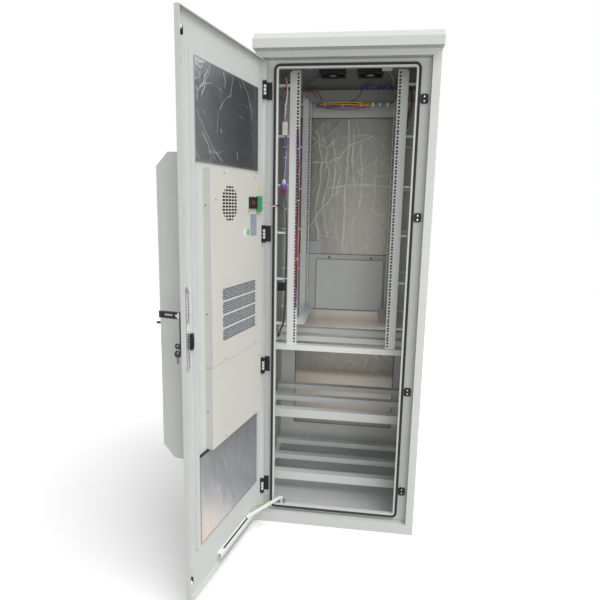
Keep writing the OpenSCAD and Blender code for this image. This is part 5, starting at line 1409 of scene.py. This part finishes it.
def glow(name, tone, strength):
    material, signal = start(name)
    flicker = noise(signal, 90, 2)
    return coat(material, {"Base Color": signal.mix(flicker, tone, colour(0.1, 0.01, 0.01)),
                           "Roughness": 0.3, "Emission Strength": strength,
                           "Emission Color": signal.mix(flicker, tone, colour(1, 0.3, 0.2))})


control_low, control_high = door_box("ac_controller")
w, z = control_high.y / MM - WINDOW_SINK, control_low.z / MM + DIGIT_RISE
bars = []
for place, digit in enumerate(SHOWN):
    u = control_high.x / MM - DIGIT_FROM_LOCK - place * (BAR_LONG + DIGIT_GAP)
    for bar in DIGITS[digit].split():
        x0, z0, x1, z1 = (end * BAR_LONG for end in SEVEN_BARS[bar])
        bars.append((u - x1 - BAR_HALF, w, z + z0 - BAR_HALF,
                     u - x0 + BAR_HALF, w + BAR_PROUD, z + z1 + BAR_HALF))
add_blocks("display_bars", bars, glow("display_red", colour(0.6, 0.05, 0.05), 0.3), "door")
print("display bars:", len(bars))

# %% [markdown]
# Labels are thin blocks or discs that stand just proud of the cover.

# %% Labels, sticker and pad strip
LABEL_THICK, DISC_SIDES = 0.4, 40
STICKER_PLACE, STICKER_HALF, STICKER_TALL = (230, INSIDE_W, 1426), 33 * MM, 16.5 * MM
SPOT_SHIFT, SPOT_HALF, SPOT_TALL = 15 * MM, 15 * MM, 14 * MM


def printed(name, tone, blotch):
    material, signal = start(name)
    fibre = noise(signal, 120, 5)
    return coat(material, {"Base Color": signal.mix(fibre, tone, blotch),
                           "Roughness": 0.4 + fibre * 0.2})


def disc(name, radius, thickness, height=None):
    """A flat disc on z = 0; with a height it is an ellipse."""
    rim = [(radius * math.cos(a), (height or radius) * math.sin(a))
           for a in np.arange(DISC_SIDES) * 2 * math.pi / DISC_SIDES]
    points = [(x, y, z) for z in (0, thickness) for x, y in rim]
    caps = [tuple(range(DISC_SIDES - 1, -1, -1)), tuple(range(DISC_SIDES, 2 * DISC_SIDES))]
    return mesh_of(name, points, caps + bands(2, DISC_SIDES), False)


label_top = INSIDE_W + LABEL_THICK
add_blocks("plain_label", [(131, INSIDE_W, 1409, 192, label_top, 1499)],
           printed("label_grey", colour(0.20, 0.25, 0.30), colour(0.34, 0.39, 0.44)), "door")
sticker_place = facing(door_spot(*STICKER_PLACE), -DOOR_U, UP)
add_piece("sticker_base", disc("sticker_base", STICKER_HALF, LABEL_THICK * MM, STICKER_TALL),
          printed("sticker_white", colour(0.62, 0.66, 0.66), colour(0.72, 0.74, 0.74)), "door",
          sticker_place)
add_piece("sticker_spot", disc("sticker_spot", SPOT_HALF, 2 * LABEL_THICK * MM, SPOT_TALL),
          printed("sticker_green", colour(0.10, 0.42, 0.14), colour(0.20, 0.52, 0.24)), "door",
          sticker_place @ Matrix.Translation((SPOT_SHIFT, 0, 0)))
add_blocks("yellow_tag", [(96, INSIDE_W, 1592, 116, label_top, 1617)],
           printed("tag_yellow", colour(0.62, 0.46, 0.16), colour(0.70, 0.56, 0.28)), "door")
# A black strip along the top of the lower pad, below the cover.
pad_low, pad_high = (corner / MM for corner in door_box("lower_foil"))
add_blocks("pad_top_strip", [(pad_low.x + 20, pad_low.y + 0.2, pad_high.z + 0.2,
                         pad_high.x + 1, pad_high.y + 2, pad_high.z + 7)], rubber, "door")
print("label thickness:", LABEL_THICK, "mm")

# %% [markdown]
# ## Last trims
#
# A few small pieces finish the picture. On the door's lock edge they are a small black tab on the
# weather cover, the cover of the lock's cam, and the lock's case with a plain tag. The case's
# slots are thin black patches of painted shade.

# %% Trims on the lock edge
CASE_U, CASE_Z, CASE_W = (632, 652), (952, 1256), (2.05, 2.3)
GUIDE_U, GUIDE_W, GUIDES_Z = (633, 641), 5.2, ((962, 1020), (1134, 1238))
SLOT_STEP, SLOT_SHIFT, SLOT_THICK, SLOT_ROOM = 9.5, 2.4, 0.1, 6
TAG_Z = (1092, 1126)

case_boxes = [(CASE_U[0], CASE_W[0], CASE_Z[0], CASE_U[1], CASE_W[1], CASE_Z[1])]
case_boxes += [(GUIDE_U[0], CASE_W[1], z0, GUIDE_U[1], GUIDE_W, z1) for z0, z1 in GUIDES_Z]
# The slots are thin black patches on the case: painted shade of the holes.
slot_boxes = []
for i, z in enumerate(np.arange(CASE_Z[0] + 12, CASE_Z[1] - 14, SLOT_STEP)):
    on_guide = any(z0 < z < z1 - SLOT_ROOM for z0, z1 in GUIDES_Z)
    w = GUIDE_W if on_guide else CASE_W[1]
    u = SLOT_SHIFT * (i % 2)
    slot_boxes += [(u + 633.6, w, z, u + 637.4, w + SLOT_THICK, z + 5.5),
                   (u + 644, CASE_W[1], z + 2, u + 648.4, CASE_W[1] + SLOT_THICK, z + 6.5)]
tag_boxes = [(GUIDE_U[0], CASE_W[1], TAG_Z[0], GUIDE_U[1] + 6, CASE_W[1] + SLOT_THICK, TAG_Z[1])]
cam_boxes = [(618, 4.2, 1030, 631, 14, 1088), (620, 14, 1042, 629, 16.5, 1076)]
EDGE_TRIMS = [
    # A small black tab on the weather cover.
    ("cover_tab", [(530, -193, 1089, 542, -170, 1097)], black_plastic, "black_plastic"),
    ("cam_cover", cam_boxes, black_metal, "black_metal"),
    ("lock_case", case_boxes, zinc, "galvanised_steel"),
    ("lock_case_slot_shade", slot_boxes, black_metal, "black_metal"),
    ("lock_tag", tag_boxes, nylon, "white_plastic"),
]
for name, boxes, finish, slot in EDGE_TRIMS:
    add_blocks(name, boxes, finish, "door")
print("slots in the lock case:", len(slot_boxes))

# %% [markdown]
# The hinges have black covers with white ribs between, and each roller has a cap on its axle.

# %% Hinge covers and roller caps
COVER_HALF, KNUCKLE_HALF, KNUCKLE_RIBS, RIB_SHARES = 38, 22, 3, (0.14, 0.86)
CHEEK_BACK, CAP_RADIUS, CAP_THICK = 2.5 * MM, 4.6 * MM, 0.8 * MM

cover_boxes, rib_boxes = [], []
rib = 2 * KNUCKLE_HALF / KNUCKLE_RIBS
for low, high in islands("hinge_blocks"):
    z = (low.z + high.z) / 2 / MM
    cover_boxes += [(4, 2.2, z - COVER_HALF, 11, 10, z + COVER_HALF),
                    (0, 18.05, z - COVER_HALF, 5, 18.7, z + COVER_HALF),
                    (4.2, 10, z - COVER_HALF, 14, 18.4, z - KNUCKLE_HALF),
                    (4.2, 10, z + KNUCKLE_HALF, 14, 18.4, z + COVER_HALF)]
    feet = [z - KNUCKLE_HALF + i * rib for i in range(KNUCKLE_RIBS)]
    rib_boxes += [(4.2, 10, foot + rib * RIB_SHARES[0], 14, 17, foot + rib * RIB_SHARES[1])
                  for foot in feet]
add_blocks("hinge_covers", cover_boxes, black_plastic, "door")
add_blocks("hinge_ribs", rib_boxes, white_paint, "door")
for roller, body in (("upper_roller", "upper_lock_rod"), ("lower_roller", "lower_lock_rod")):
    low, high = door_box(roller)
    middle = (low + high) / 2
    place = facing(DOOR @ Vector((low.x - CHEEK_BACK, middle.y, middle.z)), -DOOR_W, UP)
    add_piece(roller + "_cap", disc(roller + "_cap", CAP_RADIUS, CAP_THICK), nylon, body,
              place)
print("ribs:", len(rib_boxes))

# %% [markdown]
# Inside the cabinet there are a plain sheet on the rear lining, round labels on the fans' hubs,
# dark strips behind the holes of the front rails that are painted shade of the folded rails, and
# clips that hold the wires under the tray. On the door, a dark strip under the stay's slot is
# painted shade inside the slot.

# %% Trims inside
HUB_LABEL = 17 * MM
RAIL_SHEET, STRIP_WIDE, STRIP_THICK = 2 * MM, 24 * MM, 1 * MM
STRIP_SIDE, STRIP_BACK, STRIP_ENDS = 0.3 * MM, 0.1 * MM, (4 * MM, 14 * MM)
CHANNEL_INSET, SLOT_STRIP_THICK, SLOT_STRIP_DROP = 4.4, 1, 3.2
CLIP_X, CLIP_HALF = (112, 150, 188), 5

add_blocks("rear_label", [(-237, 760.6, 1262, -158, 761.0, 1332)],
           printed("label_pale", colour(0.40, 0.42, 0.45), colour(0.52, 0.54, 0.56)), "cabinet")
for i, (low, high) in enumerate(islands("fan_frames")):
    middle = (low + high) / 2
    place = facing(Vector((middle.x, middle.y, low.z)), ACROSS, FRONT)
    add_piece(f"hub_label_{i}", disc("hub_label", HUB_LABEL, LABEL_THICK * MM), steel, "cabinet",
              place)

# Dark strips behind the holes of the front rails paint the shade inside the folded rails.
strips = []
for rail, side in (("front_left_rail", -1), ("front_right_rail", 1)):
    low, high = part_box(rail)
    inner = min(abs(low.x), abs(high.x)) + RAIL_SHEET + STRIP_SIDE
    x0, x1 = sorted((side * inner, side * (inner + STRIP_WIDE)))
    y0 = low.y + RAIL_SHEET + STRIP_BACK
    strips.append(((x0, y0, low.z + STRIP_ENDS[0]), (x1, y0 + STRIP_THICK, high.z - STRIP_ENDS[1])))
add_piece("rail_hole_shade", blocks("rail_hole_shade", strips), rubber, "cabinet")

# A dark strip under the stay's slot paints the shade inside the channel.
low, high = (corner / MM for corner in door_box("stay_channel"))
x0, y0 = low.x + CHANNEL_INSET, low.y + CHANNEL_INSET
x1, y1, z1 = high.x - CHANNEL_INSET, high.y - CHANNEL_INSET, high.z - SLOT_STRIP_DROP
add_blocks("slot_shade_strip", [(x0, y0, z1 - SLOT_STRIP_THICK, x1, y1, z1)], rubber, "door")
add_blocks("tray_clips", [(x - CLIP_HALF, 616, 2062, x + CLIP_HALF, 634, 2077.8) for x in CLIP_X],
           nylon, "cabinet")
print("pieces made here:", len(made_pieces))

# %% [markdown]
# ## The floor's finish
#
# The floor is pale and almost matt, with a little unevenness so that the shadow doesn't look cut
# out. It throws back less light than it shows, because a white floor would light the cabinet from
# below.

# %% Floor finish
def studio_floor(name):
    material, signal = start(name)
    patches = noise(signal, 0.7, 3)
    pale = signal.mix(patches, colour(0.80, 0.80, 0.80), colour(0.86, 0.86, 0.86))
    return coat(material, {"Base Color": signal.mix(seen_by_eye(signal), FLOOR_BOUNCE, pale),
                           "Roughness": 0.7 + patches * 0.1})


paint(floor, studio_floor("studio_floor"))
